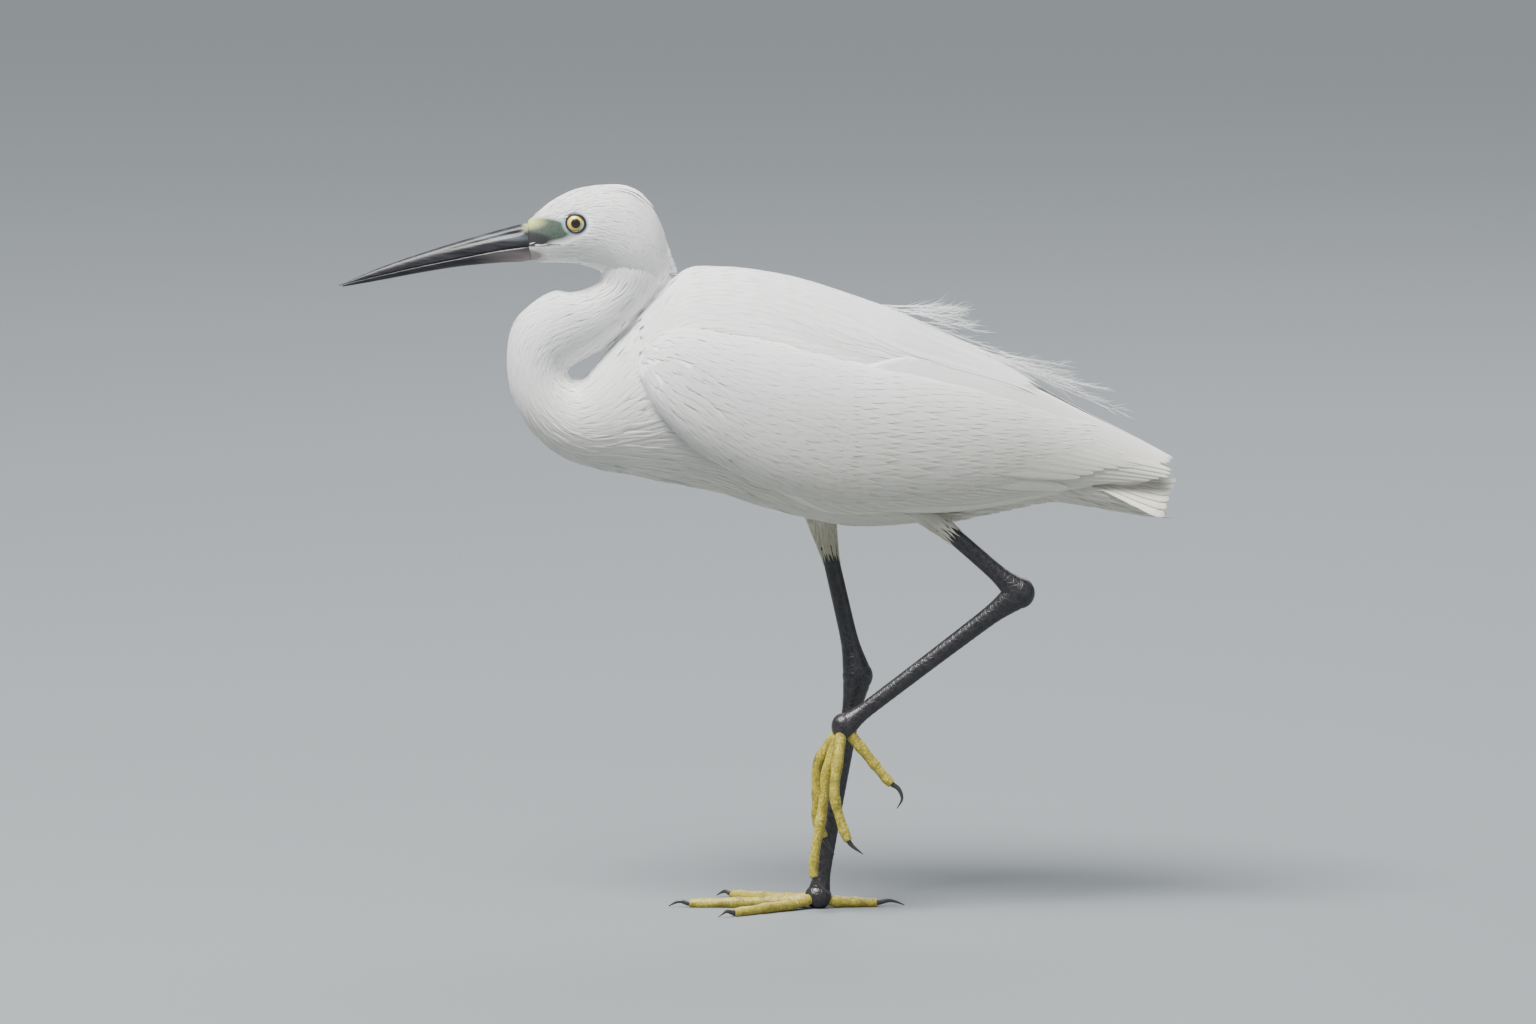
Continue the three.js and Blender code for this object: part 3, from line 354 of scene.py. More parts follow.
class Graph:
    """Short ways to add and join the nodes of one material."""

    def __init__(self, made):
        """Takes up the nodes, links and shader of a material."""
        self.nodes, self.links = made.node_tree.nodes, made.node_tree.links
        self.shader = self.nodes["Principled BSDF"]

    def add(self, kind, **values):
        """A new node with its settings."""
        node = self.nodes.new(kind)
        for key, value in values.items():
            setattr(node, key, value)
        return node

    def join(self, out, socket):
        """Links an output to an input."""
        self.links.new(out, socket)

    def paint(self, colour):
        """Joins a colour to the material's base colour."""
        self.join(colour, self.shader.inputs["Base Color"])

    def place(self, scale=(1, 1, 1), shift=(0, 0, 0)):
        """Object coordinates, moved and scaled."""
        coordinates = self.add("ShaderNodeTexCoord")
        mapping = self.add("ShaderNodeMapping")
        mapping.inputs["Scale"].default_value = scale
        mapping.inputs["Location"].default_value = shift
        self.join(coordinates.outputs["Object"], mapping.inputs["Vector"])
        return mapping.outputs["Vector"]

    def noise(self, vector, scale, detail=2.0, roughness=0.5):
        """Fractal noise from 0 to 1 over a vector."""
        node = self.add("ShaderNodeTexNoise")
        node.inputs["Scale"].default_value = scale
        node.inputs["Detail"].default_value = detail
        node.inputs["Roughness"].default_value = roughness
        self.join(vector, node.inputs["Vector"])
        return node.outputs["Fac"]

    def ramp(self, fac, stops):
        """Colours along a factor: a list of (position, colour)."""
        node = self.add("ShaderNodeValToRGB")
        elements = node.color_ramp.elements
        while len(elements) < len(stops):
            elements.new(0.5)
        for element, (position, colour) in zip(elements, stops):
            element.position = position
            element.color = (*colour, 1)
        self.join(fac, node.inputs["Fac"])
        return node.outputs["Color"]

    def mix(self, fac, a, b, blend="MIX"):
        """Two colours mixed. Each may be a socket or a plain colour."""
        node = self.add("ShaderNodeMix", data_type="RGBA", blend_type=blend)
        for value, place in ((fac, 0), (a, 6), (b, 7)):
            socket = node.inputs[place]
            if isinstance(value, bpy.types.NodeSocket):
                self.join(value, socket)
            else:
                socket.default_value = value if place == 0 else (*value, 1)
        return node.outputs[2]

    def maths(self, operation, a, b=0.0):
        """One sum or function of two values. Each may be a socket or a number."""
        node = self.add("ShaderNodeMath", operation=operation)
        for value, socket in zip((a, b), node.inputs):
            if isinstance(value, bpy.types.NodeSocket):
                self.join(value, socket)
            else:
                socket.default_value = value
        return node.outputs[0]

    def bump(self, height, strength, distance):
        """Relief on the material from a height."""
        node = self.add("ShaderNodeBump")
        node.inputs["Strength"].default_value = strength
        node.inputs["Distance"].default_value = distance
        self.join(height, node.inputs["Height"])
        self.join(node.outputs["Normal"], self.shader.inputs["Normal"])

    def length(self, vector):
        """Length of a vector."""
        node = self.add("ShaderNodeVectorMath", operation="LENGTH")
        self.join(vector, node.inputs[0])
        return node.outputs["Value"]

    def fade(self, value, start, end, first=0.0, last=1.0):
        """Runs from the first to the last figure as the value goes from start to end, and holds beyond."""
        node = self.add("ShaderNodeMapRange", clamp=True)
        limits = {"From Min": start, "From Max": end, "To Min": first, "To Max": last}
        for socket, limit in limits.items():
            node.inputs[socket].default_value = limit
        self.join(value, node.inputs["Value"])
        return node.outputs["Result"]

    def height(self):
        """Height over the floor in metres."""
        node = self.add("ShaderNodeSeparateXYZ")
        self.join(self.place(), node.inputs[0])
        return node.outputs["Z"]

    def near(self, x, z, reach, soft):
        """1 inside an ellipsoid round a place on the middle plane, falling softly to 0 outside it."""
        scale = tuple(1 / (MM * r) for r in reach)
        vector = self.place(scale, (-x * MM * scale[0], 0, -z * MM * scale[2]))
        return self.fade(self.length(vector), 1 - soft, 1 + soft, 1, 0)

    def spot(self, colour, tint, x, z, reach, soft):
        """A colour with a soft spot of a tint on it."""
        return self.mix(self.near(x, z, reach, soft), colour, tint)

    def plates(self, scale, width):
        """White plates of skin with narrow black edges."""
        cells = self.add("ShaderNodeTexVoronoi", feature="DISTANCE_TO_EDGE")
        cells.inputs["Scale"].default_value = 1.0
        self.join(self.place(scale), cells.inputs["Vector"])
        return self.ramp(cells.outputs["Distance"], [(0.0, (0, 0, 0)), (width, (1, 1, 1))])

    def painted_shade_below(self):
        """White above, with painted shade in a warm tint that grows below mid height."""
        return self.mix(self.fade(self.height(), *PAINTED_SHADE_HEIGHTS), WHITE, WARM_PAINTED_SHADE)


WHITE = (0.88, 0.88, 0.865)
# Random tone from feather to feather, and painted shade towards each feather's root.
COOL_TONE_AND_ROOT_SHADE = (0.8, 0.815, 0.82)
# Painted shade in a warm tint, laid on below mid height.
WARM_PAINTED_SHADE = (0.7, 0.67, 0.54)
# Olive low on the thighs: partly the leg's own colour, partly painted shade.
OLIVE_AND_PAINTED_SHADE = (0.4, 0.36, 0.2)
SOIL = (0.3, 0.2, 0.09)
PAINTED_SHADE_HEIGHTS = (0.245, 0.185)
OLIVE_AND_SHADE_HEIGHTS = (0.18, 0.164)


def plumage_material(name, barbs=0.0, shade=0.15):
    """White feather: painted shade towards the root, a random tone from feather to feather, painted shade in
    a warm tint below, an olive tint low on the thighs that is partly painted shade, and barb ridges.
    """
    made = material(
        name, WHITE, 0.72, Sheen_Weight=0.2, Sheen_Roughness=0.6, Specular_IOR_Level=0.3,
        Subsurface_Weight=0.35, Subsurface_Radius=(1, 0.97, 0.9), Subsurface_Scale=0.0016,
    )
    graph = Graph(made)
    tone = graph.add("ShaderNodeAttribute", attribute_name="Tone")
    parts = graph.add("ShaderNodeSeparateColor")
    graph.join(tone.outputs["Color"], parts.inputs[0])
    random, length = parts.outputs[:2]
    # Painted shade in a warm tint below mid height, then olive low on the thighs, partly the leg's own colour
    # and partly painted shade.
    base = graph.mix(graph.fade(graph.height(), *OLIVE_AND_SHADE_HEIGHTS, last=0.75), graph.painted_shade_below(), OLIVE_AND_PAINTED_SHADE)
    # Painted shade: each feather darker towards its root.
    painted_root_shade = graph.maths("MULTIPLY", graph.maths("SUBTRACT", 1.0, length), shade)
    base = graph.mix(painted_root_shade, base, COOL_TONE_AND_ROOT_SHADE)
    base = graph.mix(graph.maths("MULTIPLY", random, 0.16), base, COOL_TONE_AND_ROOT_SHADE)
    soiled = graph.near(161, 180.5, (7.5, 30, 6), 0.6)
    soiled = graph.maths("MULTIPLY", soiled, graph.noise(graph.place(), 500, 3))
    graph.paint(graph.mix(soiled, base, SOIL))
    if not barbs:
        graph.bump(graph.noise(graph.place(), 2600, 2), 0.25, 0.0002)
        return made
    vane = graph.add("ShaderNodeUVMap", uv_map="Vane")
    split = graph.add("ShaderNodeSeparateXYZ")
    graph.join(vane.outputs["UV"], split.inputs[0])
    outwards = graph.maths("ABSOLUTE", split.outputs["Y"])
    slant = graph.maths("ADD", split.outputs["X"], graph.maths("MULTIPLY", outwards, -1.1))
    ridge = graph.maths("SINE", graph.maths("MULTIPLY", slant, 5.5))
    fuzz = graph.maths("MULTIPLY", graph.noise(graph.place(), 1400, 3), 1.4)
    graph.bump(graph.maths("ADD", ridge, fuzz), barbs, 0.00018)
    return made


def skin_material():
    """Skin: down-white under the coat, with painted shade in a warm tint below mid height.

    On the face lie grey-green lores that turn yellow in front, a pale ring round the eye, a pinkish base to
    the lower jaw, a black wedge behind the bill and the line of the gape.
    """
    made = material("skin_down_and_lores", WHITE, 0.7)
    graph = Graph(made)
    mottle = graph.noise(graph.place(), 520, 4, 0.65)
    grey = graph.mix(mottle, (0.018, 0.032, 0.026), (0.075, 0.105, 0.078))
    yellow = graph.mix(mottle, (0.33, 0.35, 0.1), (0.55, 0.56, 0.26))
    face = graph.spot(grey, yellow, -132.5, 312.5, (8.5, 30, 3), 0.45)
    # The skin's white carries painted shade in a warm tint below mid height.
    colour = graph.spot(graph.painted_shade_below(), face, -122.2, 309.2, (15, 30, 5.8), 0.2)
    for tint, x, z, reach, soft in (
        ((0.27, 0.36, 0.4), EYE["x"], EYE["z"], (6.4, 30, 5.8), 0.12),
        ((0.26, 0.22, 0.21), -131, 297.2, (9.5, 30, 3.6), 0.3),
        ((0.02, 0.02, 0.022), -132, 304.6, (13.5, 30, 3.6), 0.15),
        ((0.06, 0.06, 0.065), -120.5, 302.2, (10.5, 30, 0.7), 0.5),
    ):
        colour = graph.spot(colour, tint, x, z, reach, soft)
    graph.paint(colour)
    graph.bump(graph.noise(graph.place(), 900, 4, 0.6), 0.5, 0.0004)
    return made


def bill_material():
    """Black horn with a sheen and faint long grooves.

    The base of the lower jaw is pinkish grey, a painted blue-grey highlight runs along the groove by the
    nostril, and the edge at the forehead is yellowish.
    """
    made = material("bill_black_horn", (0.02, 0.02, 0.023), 0.42, Coat_Weight=0.08, Coat_Roughness=0.3,
                    Specular_IOR_Level=0.35)
    graph = Graph(made)
    grain = graph.noise(graph.place((90, 700, 900)), 1.0, 3, 0.6)
    colour = graph.ramp(grain, [(0.35, (0.006, 0.006, 0.008)), (0.75, (0.03, 0.03, 0.035))])
    colour = graph.spot(colour, (0.16, 0.135, 0.135), -126.5, 295.8, (19, 20, 3.5), 0.5)
    # Painted highlight: a blue-grey streak along the groove by the nostril.
    colour = graph.spot(colour, (0.08, 0.09, 0.11), -139, 305.2, (12, 20, 1.1), 0.7)
    graph.paint(graph.spot(colour, (0.3, 0.31, 0.16), -128.5, 311.5, (3.5, 30, 3.5), 0.35))
    graph.bump(grain, 0.35, 0.0003)
    return made


def leg_material():
    """Black leg skin: small plates with pale worn edges and a wet sheen."""
    made = material("leg_black_skin", (0.015, 0.012, 0.016), 0.38, Coat_Weight=0.15, Coat_Roughness=0.25)
    graph = Graph(made)
    edge = graph.plates((420, 420, 300), 0.12)
    dust = graph.noise(graph.place(), 260, 4, 0.65)
    worn = graph.ramp(dust, [(0.5, (0.008, 0.007, 0.01)), (0.8, (0.04, 0.035, 0.036))])
    graph.paint(graph.mix(edge, (0.022, 0.02, 0.022), worn))
    graph.bump(edge, 0.35, 0.00025)
    return made


def toe_material():
    """Olive-yellow toe skin, darker between its plates and blotched with mud."""
    made = material("toe_olive_skin", (0.45, 0.38, 0.04), 0.42, Coat_Weight=0.15, Coat_Roughness=0.3)
    graph = Graph(made)
    edge = graph.plates((820, 820, 640), 0.14)
    blotch = graph.noise(graph.place(), 190, 4, 0.6)
    stops = [(0.3, (0.12, 0.1, 0.01)), (0.5, (0.4, 0.33, 0.03)), (0.75, (0.58, 0.5, 0.09))]
    graph.paint(graph.mix(edge, (0.2, 0.16, 0.018), graph.ramp(blotch, stops)))
    graph.bump(edge, 0.4, 0.0003)
    return made


def eye_material():
    """Eye: black pupil, yellow iris with fine spokes and a dark rim, under a clear wet coat."""
    made = material("eye_wet_iris", (0.8, 0.6, 0.1), 0.4, Coat_Weight=0.7, Coat_Roughness=0.03)
    graph = Graph(made)
    vector = graph.place((1, 0, 1), (-EYE["x"] * MM, 0, -EYE["z"] * MM))
    radius = graph.maths("MULTIPLY", graph.length(vector), 1 / (MM * EYE["radius"]))
    spokes = graph.noise(graph.place(), 1900, 4, 0.7)
    iris = graph.ramp(spokes, [(0.35, (0.68, 0.42, 0.02)), (0.65, (0.92, 0.72, 0.1))])
    black, clear, rim = (0, 0, 0), (1, 1, 1), (0.06, 0.05, 0.03)
    rings = graph.ramp(radius, [(0.0, black), (0.42, black), (0.46, clear), (0.7, clear), (0.78, rim)])
    graph.paint(graph.mix(1.0, iris, rings, "MULTIPLY"))
    return made


FEATHER = plumage_material("feather_vane", barbs=0.12)
COAT = plumage_material("feather_coat", shade=0.12)
PLUME = plumage_material("plume_strand", shade=0.1)
SKIN = skin_material()
HORN = bill_material()
LEG = leg_material()
TOE = toe_material()
IRIS = eye_material()
CLAW = material("claw_dark_horn", (0.03, 0.026, 0.024), 0.3, Coat_Weight=0.3, Coat_Roughness=0.2)
LID = material("lid_dark_rim", (0.02, 0.02, 0.022), 0.4)


# Feathers


# Least scale of a surface along a vane, as a share of its scale at the root.
CROWDING = 0.7


def rounded(s):
    """Vane outline, the share of its width at a share s of its length: broad, and rounded at the tip."""
    return np.clip(0.25 + 3.2 * s, 0, 1) * np.sqrt(np.clip(1 - s**7, 0.0004, 1))


def lance(s):
    """Plume outline: broad near a third of the length, then a long taper."""
    return np.clip(0.3 + 2.6 * s, 0, 1) * np.clip(1 - s**1.7, 0.02, 1)


def tuft(s):
    """Tuft outline: widest near the root, running to a fine point."""
    return np.clip(0.5 + 2 * s, 0, 1) * np.clip(1 - s**1.4, 0.03, 1)


def vane_pattern(rows, cols):
    """Faces of one closed vane: a grid, and an underside that shares the grid's rim."""
    top = np.arange((rows + 1) * (cols + 1)).reshape(rows + 1, cols + 1)
    under = top.copy()
    inner = (rows - 1) * (cols - 1)
    under[1:-1, 1:-1] = top.size + np.arange(inner).reshape(rows - 1, cols - 1)
    upper, lower = (
        np.stack([grid[:-1, :-1], grid[:-1, 1:], grid[1:, 1:], grid[1:, :-1]], -1).reshape(-1, 4)
        for grid in (top, under)
    )
    return np.concatenate([upper, lower[:, ::-1]]), top.size + inner


def scale_of(place, u, v, lift):
    """Millimetres per unit of each parameter of a surface, by small steps both ways."""
    step = 0.25
    along_u = np.linalg.norm(place(u + step, v, lift) - place(u - step, v, lift), axis=-1) / (2 * step)
    along_v = np.linalg.norm(place(u, v + step, lift) - place(u, v - step, lift), axis=-1) / (2 * step)
    return np.maximum(along_u, 1e-3), np.maximum(along_v, 1e-3)


def surface_normal(place, u, v, lift):
    """Unit normal of a surface: square to short steps along both parameters, on the side it grows towards."""
    step = 0.3
    along_u = place(u + step, v, lift) - place(u - step, v, lift)
    along_v = place(u, v + step, lift) - place(u, v - step, lift)
    grows = place(u, v, lift + 0.5) - place(u, v, lift)
    normal = np.cross(along_u, along_v)
    normal *= np.sign(np.einsum("...k,...k->...", normal, grows))[..., None] + 1e-9
    normal += 1e-7 * grows
    return normal / np.linalg.norm(normal, axis=-1, keepdims=True)


def both_faces(top, under):
    """Points of closed vanes, or values at them: each upper grid, then the inner part of the lower one."""
    count, size = len(top), top.shape[-1]
    parts = [top.reshape(count, -1, size), under[:, 1:-1, 1:-1].reshape(count, -1, size)]
    return np.concatenate(parts, axis=1).reshape(-1, size)


def lay(place, root, tip, width, lift, outline, rows, cols, bend=0.0, tilt=0.0, camber=0.25, thick=0.14,
        fray=0.0, chart=None):
    """Closed vanes laid on a surface from root to tip, both given in its two parameters.

    The middle line runs straight between them in the parameters, with a sideways bend. Each cross line
    stands square to it, its reach given by the outline. The lift runs from the first to the second value.
    Where the surface narrows towards the tip, its scale counts as at least the CROWDING share of the root's.
    A cross line arches by the camber and leans by the tilt, and fray nibbles at its ends. In the bake map a
    vane is a small patch at its root's place in the chart, or else has a cell of its own.
    """
    root, tip = np.asarray(root, float), np.asarray(tip, float)
    count = len(root)
    each = lambda value: np.broadcast_to(np.asarray(value, float), (count,))[:, None, None]
    s = (1 - (1 - np.linspace(0, 1, rows + 1)) ** 1.6)[None, :, None]
    w = np.linspace(-1, 1, cols + 1)[None, None, :]
    root_u, root_v = root[:, 0, None, None], root[:, 1, None, None]
    along_u, along_v = (tip - root)[:, 0, None, None], (tip - root)[:, 1, None, None]
    u = root_u + along_u * s
    v = root_v + along_v * s + each(bend) * np.sin(np.pi * s)
    height = each(lift[0]) + (each(lift[1]) - each(lift[0])) * s
    scale_u, scale_v = (np.maximum(scale, CROWDING * scale[:, :1]) for scale in scale_of(place, u, v, height))
    run_u = along_u * scale_u
    run_v = (along_v + each(bend) * np.pi * np.cos(np.pi * s)) * scale_v
    size = np.hypot(run_u, run_v)
    reach = each(width) / 2 * outline(s)
    frayed = 1 - fray * rng.random((count, rows + 1, 2)) ** 2
    edge = np.ones((count, rows + 1, cols + 1))
    edge[:, 1:, 0], edge[:, 1:, -1] = frayed[:, 1:, 0], frayed[:, 1:, 1]
    offset = w * reach * edge
    at_u, at_v = u - run_v / size * offset / scale_u, v + run_u / size * offset / scale_v
    level = height + camber * (1 - w**2) - each(tilt) * w * outline(s)
    body = thick * np.sqrt(np.clip((1 - w**2) * np.sin(np.pi * np.clip(s, 0, 1)), 0, 1))
    top, under = place(at_u, at_v, level + body), place(at_u, at_v, level - body)

    faces, per = vane_pattern(rows, cols)
    i, j = rows // 2, cols // 2
    normal = np.cross(top[:, i + 1, j] - top[:, i - 1, j], top[:, i, j + 1] - top[:, i, j - 1])
    mid_u, mid_v, mid_height = (value[:, i, 0] for value in (u, v, height))
    outward = place(mid_u, mid_v, mid_height + 1) - place(mid_u, mid_v, mid_height)
    inward = (np.einsum("ij,ij->i", normal, outward) < 0)[:, None, None]
    faces = np.where(inward, faces[None], faces[None, :, ::-1]) + (np.arange(count) * per)[:, None, None]

    def at_points(a, b):
        """A pair of values at every point of the vanes."""
        value = np.stack([np.broadcast_to(part, top.shape[:-1]) for part in (a, b)], -1)
        return both_faces(value, value)

    tone = at_points(rng.random(count)[:, None, None], s)
    length = np.linalg.norm(top[:, -1, j] - top[:, 0, j], axis=-1)[:, None, None]
    if chart is None:
        columns = int(np.ceil(np.sqrt(count)))
        column, line = np.divmod(np.arange(count), columns)[::-1]
        base_u, base_v = ((part / columns)[:, None, None] for part in (column, line))
        patch = at_points(base_u + (0.05 + 0.9 * s) / columns, base_v + (0.5 + 0.45 * w) / columns)
    else:
        (u0, u1), (v0, v1) = chart
        base_u, base_v = 0.01 + 0.98 * (root_u - u0) / (u1 - u0), 0.01 + 0.98 * (root_v - v0) / (v1 - v0)
        patch = at_points(base_u + 0.003 * (s - 0.5), base_v + 0.0015 * w)
    rise = surface_normal(place, at_u, at_v, level)
    return {"points": both_faces(top, under), "faces": faces.reshape(-1, 4), "tone": tone,
            "vane": at_points(s * length, w * reach), "bake": patch, "rise": both_faces(rise, rise),
            "facing": np.tile(np.repeat([1, -1], rows * cols), count)}


def soften(piece, rise, facing, share):
    """Turns the shading of feathers part of the way to that of the body under them, for a silky coat.

    Each face's corners take the body's direction there, or its opposite on a feather's underside.
    """
    mesh = piece.data
    own = np.empty(len(mesh.vertices) * 3)
    mesh.vertex_normals.foreach_get("vector", own)
    corner = np.empty(len(mesh.loops), int)
    mesh.loops.foreach_get("vertex_index", corner)
    side = np.repeat(facing, 4)[:, None]
    blend = (1 - share) * own.reshape(-1, 3)[corner] + share * side * rise[corner]
    blend /= np.linalg.norm(blend, axis=1, keepdims=True)
    mesh.normals_split_custom_set(blend.tolist())


def feather_piece(name, layers, made, soft=0.75):
    """One piece from several layers of vanes, with their shades and both maps."""
    whole = lambda key: np.concatenate([layer[key] for layer in layers])
    starts = np.cumsum([0] + [len(layer["points"]) for layer in layers])
    faces = [layer["faces"] + start for layer, start in zip(layers, starts)]
    piece = new_piece(name, whole("points"), faces, made, "plumage")
    set_uv(piece, "OFBake", whole("bake"))
    set_uv(piece, "Vane", whole("vane"))
    set_tone(piece, whole("tone"))
    soften(piece, whole("rise"), whole("facing"), soft)
    return piece


def scatter(place, u_range, v_range, pitch, jitter):
    """Staggered rows of roots over a surface, a given number of millimetres apart along and across it.

    Where a row's neighbours crowd together it carries fewer roots, so every part gets the same number
    of roots to the square millimetre.
    """
    u, v = np.linspace(*u_range, 200), np.linspace(*v_range, 200)
    scale_u, scale_v = scale_of(place, u[:, None], v[None], np.zeros((200, 200)))
    widest = scale_u.max(axis=1)
    run = np.r_[0, np.cumsum((widest[1:] + widest[:-1]) / 2 * np.diff(u))]
    rows = []
    for k, reached in enumerate(np.arange(pitch[0] / 2, run[-1], pitch[0])):
        i = min(np.searchsorted(run, reached), 199)
        crowd = np.r_[0, np.cumsum(scale_v[i, 1:] * scale_u[i, 1:] / widest[i])] * (v[1] - v[0])
        count = max(int(crowd[-1] / pitch[1]), 1)
        marks = (np.arange(count) + 0.25 + 0.5 * (k % 2) + jitter * (rng.random(count) - 0.5)) / count
        across = np.interp(np.clip(marks, 0, 1) * crowd[-1], crowd, v)
        drift = jitter * pitch[0] * (rng.random(count) - 0.5) / widest[i]
        rows.append(np.stack([np.interp(reached, run, u) + drift, across], -1))
    return np.concatenate(rows)


def tips_from(place, root, length, slant=0.0, spread=0.12, limit=1e3):
    """Tips a given length from the roots along the first parameter, turned by a slant in radians.

    The limit is the longest step in the first parameter, for a surface whose stations crowd together.
    """
    turn = slant + spread * (rng.random(len(root)) - 0.5) * 2
    scale_u, scale_v = scale_of(place, root[:, 0], root[:, 1], 0 * root[:, 0])
    length = np.minimum(length, limit * scale_u)
    step = np.stack([length * np.cos(turn) / scale_u, length * np.sin(turn) / scale_v], -1)
    return root + step


def strands(roots, tips, bend, radius, rings):
    """Tapering three-sided strands from root to tip, bowed sideways by a vector, closed at both ends."""
    roots, tips, bend = (np.asarray(value, float) for value in (roots, tips, bend))
    count, sides = len(roots), 3
    s = np.linspace(0, 1, rings)[None, :, None]
    centre = roots[:, None] * (1 - s) + tips[:, None] * s + 4 * s * (1 - s) * bend[:, None]
    tangent = np.gradient(centre, axis=1)
    tangent /= np.linalg.norm(tangent, axis=2, keepdims=True)
    side = np.cross(tangent, np.array([0.2, 0.3, 1.0]))
    side /= np.linalg.norm(side, axis=2, keepdims=True)
    other = np.cross(tangent, side)
    a = np.linspace(0, 2 * np.pi, sides, endpoint=False)[None, None, :, None]
    size = (radius * np.clip(1 - s, 0.06, 1) ** 0.7)[..., None]
    grid = centre[:, :, None] + size * (np.cos(a) * side[:, :, None] + np.sin(a) * other[:, :, None])
    index, quads = ring_quads(rings, sides)
    caps = np.stack([index[0][::-1], index[-1]])
    shift = (np.arange(count) * rings * sides)[:, None, None]
    faces = [(quads + shift).reshape(-1, 4), (caps + shift).reshape(-1, sides)]
    points = grid.reshape(-1, 3)
    shade = np.repeat(rng.random(count), rings * sides)
    share = np.tile(np.repeat(s.ravel(), sides), count)
    return points, facing_out(points, faces), np.stack([shade, share], -1)


def inside(table, points, margin, ends=0.0):
    """True for points inside a table's ellipses grown by a margin, up to its ends moved out."""
    x = points[:, 0]
    top, bottom = along(table, "top", x), along(table, "bottom", x)
    half = along(table, "half", x) + margin
    high = (top - bottom) / 2 + margin
    within = (points[:, 1] / half) ** 2 + ((points[:, 2] - (top + bottom) / 2) / high) ** 2 < 1
    return within & (x > table["x"][0] - ends) & (x < table["x"][-1] + ends)


def inside_neck(points, margin):
    """True for points within the neck's ellipse, grown by a margin, at the nearest of many stations."""
    t = np.linspace(0, 12, 160)
    front, back = neck(t, 0, 0.0), neck(t, 180, 0.0)
    centre, reach = (front + back) / 2, (front - back) / 2
    half = hermite(np.arange(len(NECK["half"])), NECK["half"], t)
    offset = points[:, None] - centre[None]
    near = np.argmin(np.linalg.norm(offset, axis=2), axis=1)
    pick = np.arange(len(points))
    away = offset[pick, near]
    long = np.linalg.norm(reach[near], axis=1)
    unit = reach[near] / long[:, None]
    across = np.einsum("ij,ij->i", away, unit)
    normal = np.stack([-unit[:, 2], 0 * long, unit[:, 0]], -1)
    ahead = np.abs(np.einsum("ij,ij->i", away, normal))
    within = (across / (long + margin)) ** 2 + (away[:, 1] / (half[near] + margin)) ** 2 < 1
    return within & (ahead < 4)


# Skin


SKIN_DEPTH = {"trunk": -0.55, "neck": -0.5, "head": -0.35}
VOXEL = 1.25
THIGH_SLIM = 0.8


def upper_leg(leg, count=60):
    """Middle line of the upper leg from hip to ankle, its directions, and its feathered share."""
    centre, tangent, length = path_points([leg["hip"], leg["feathered"], leg["ankle"]], count)
    return centre, tangent, np.linalg.norm(np.subtract(leg["feathered"], leg["hip"])) / length


def thigh_part(leg):
    """Feathered thigh: a cone round the first part of the upper leg."""
    centre, tangent, edge = upper_leg(leg)
    share = np.linspace(0, 1, len(centre))
    keep = share <= edge * 1.02
    top, end = leg["thigh"]
    radius = top + (end - top) * np.clip(share / edge, 0, 1) ** 0.8 - 0.6
    return tube(centre[keep], tangent[keep], radius[keep], 28, THIGH_SLIM)


def make_skin():
    """One closed skin: trunk, neck, head and thighs, joined by a voxel surface and smoothed."""
    angle = round_angles(96)
    x = np.linspace(TRUNK["x"][0], TRUNK["x"][-1], 90)[:, None]
    t = np.linspace(0.1, 12.2, 140)[:, None]
    share = np.linspace(0, 1, 60)[:, None]
    head_x = HEAD["x"][0] + (HEAD["x"][-1] - HEAD["x"][0]) * (share + 0.06 * np.sin(2 * np.pi * share))
    parts = [
        loft(trunk(x, angle, SKIN_DEPTH["trunk"])),
        loft(neck(t, angle, SKIN_DEPTH["neck"])),
        loft(head(head_x, angle, SKIN_DEPTH["head"])),
        loft(thigh_part(LEGS["right"])),
        loft(thigh_part(LEGS["left"])),
    ]
    points, faces = joined(parts)
    rough = new_piece("skin", points, faces, SKIN, "plumage")
    remesh = rough.modifiers.new("join", "REMESH")
    remesh.mode = "VOXEL"
    remesh.voxel_size = VOXEL * MM
    smooth = rough.modifiers.new("smooth", "SMOOTH")
    smooth.factor = 0.5
    smooth.iterations = 8
    bpy.context.view_layer.update()
    evaluated = rough.evaluated_get(bpy.context.evaluated_depsgraph_get())
    finished = bpy.data.meshes.new_from_object(evaluated)
    rough.modifiers.clear()
    rough.data = finished
    finished.polygons.foreach_set("use_smooth", np.ones(len(finished.polygons), bool))
    return rough


skin = make_skin()
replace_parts(skin, "head", "neck_upper", "neck_middle", "neck_lower", "torso", "thigh_left", "thigh_right")


# Head and neck coat


HEAD_CHART = ((-131, -60), (-5, 365))
NECK_CHART = ((-0.5, 13.5), (-5, 365))
BREAST_CHART = ((-0.5, 13.5), (-110, 110))
TRUNK_CHART = ((-110, 130), (-190, 190))


def bare_face(points):
    """True where the face carries no feathers: the lores, the ring round the eye and the gape."""
    x, z = points[:, 0], points[:, 2]
    lores = ((x + 122.6) / 15) ** 2 + ((z - 308.6) / 6.6) ** 2 < 1
    ring = ((x - EYE["x"]) / 6.4) ** 2 + ((z - EYE["z"]) / 5.8) ** 2 < 1
    horn = ((x + 131) / 9.5) ** 2 + ((z - 297.4) / 4) ** 2 < 1
    return lores | ring | horn


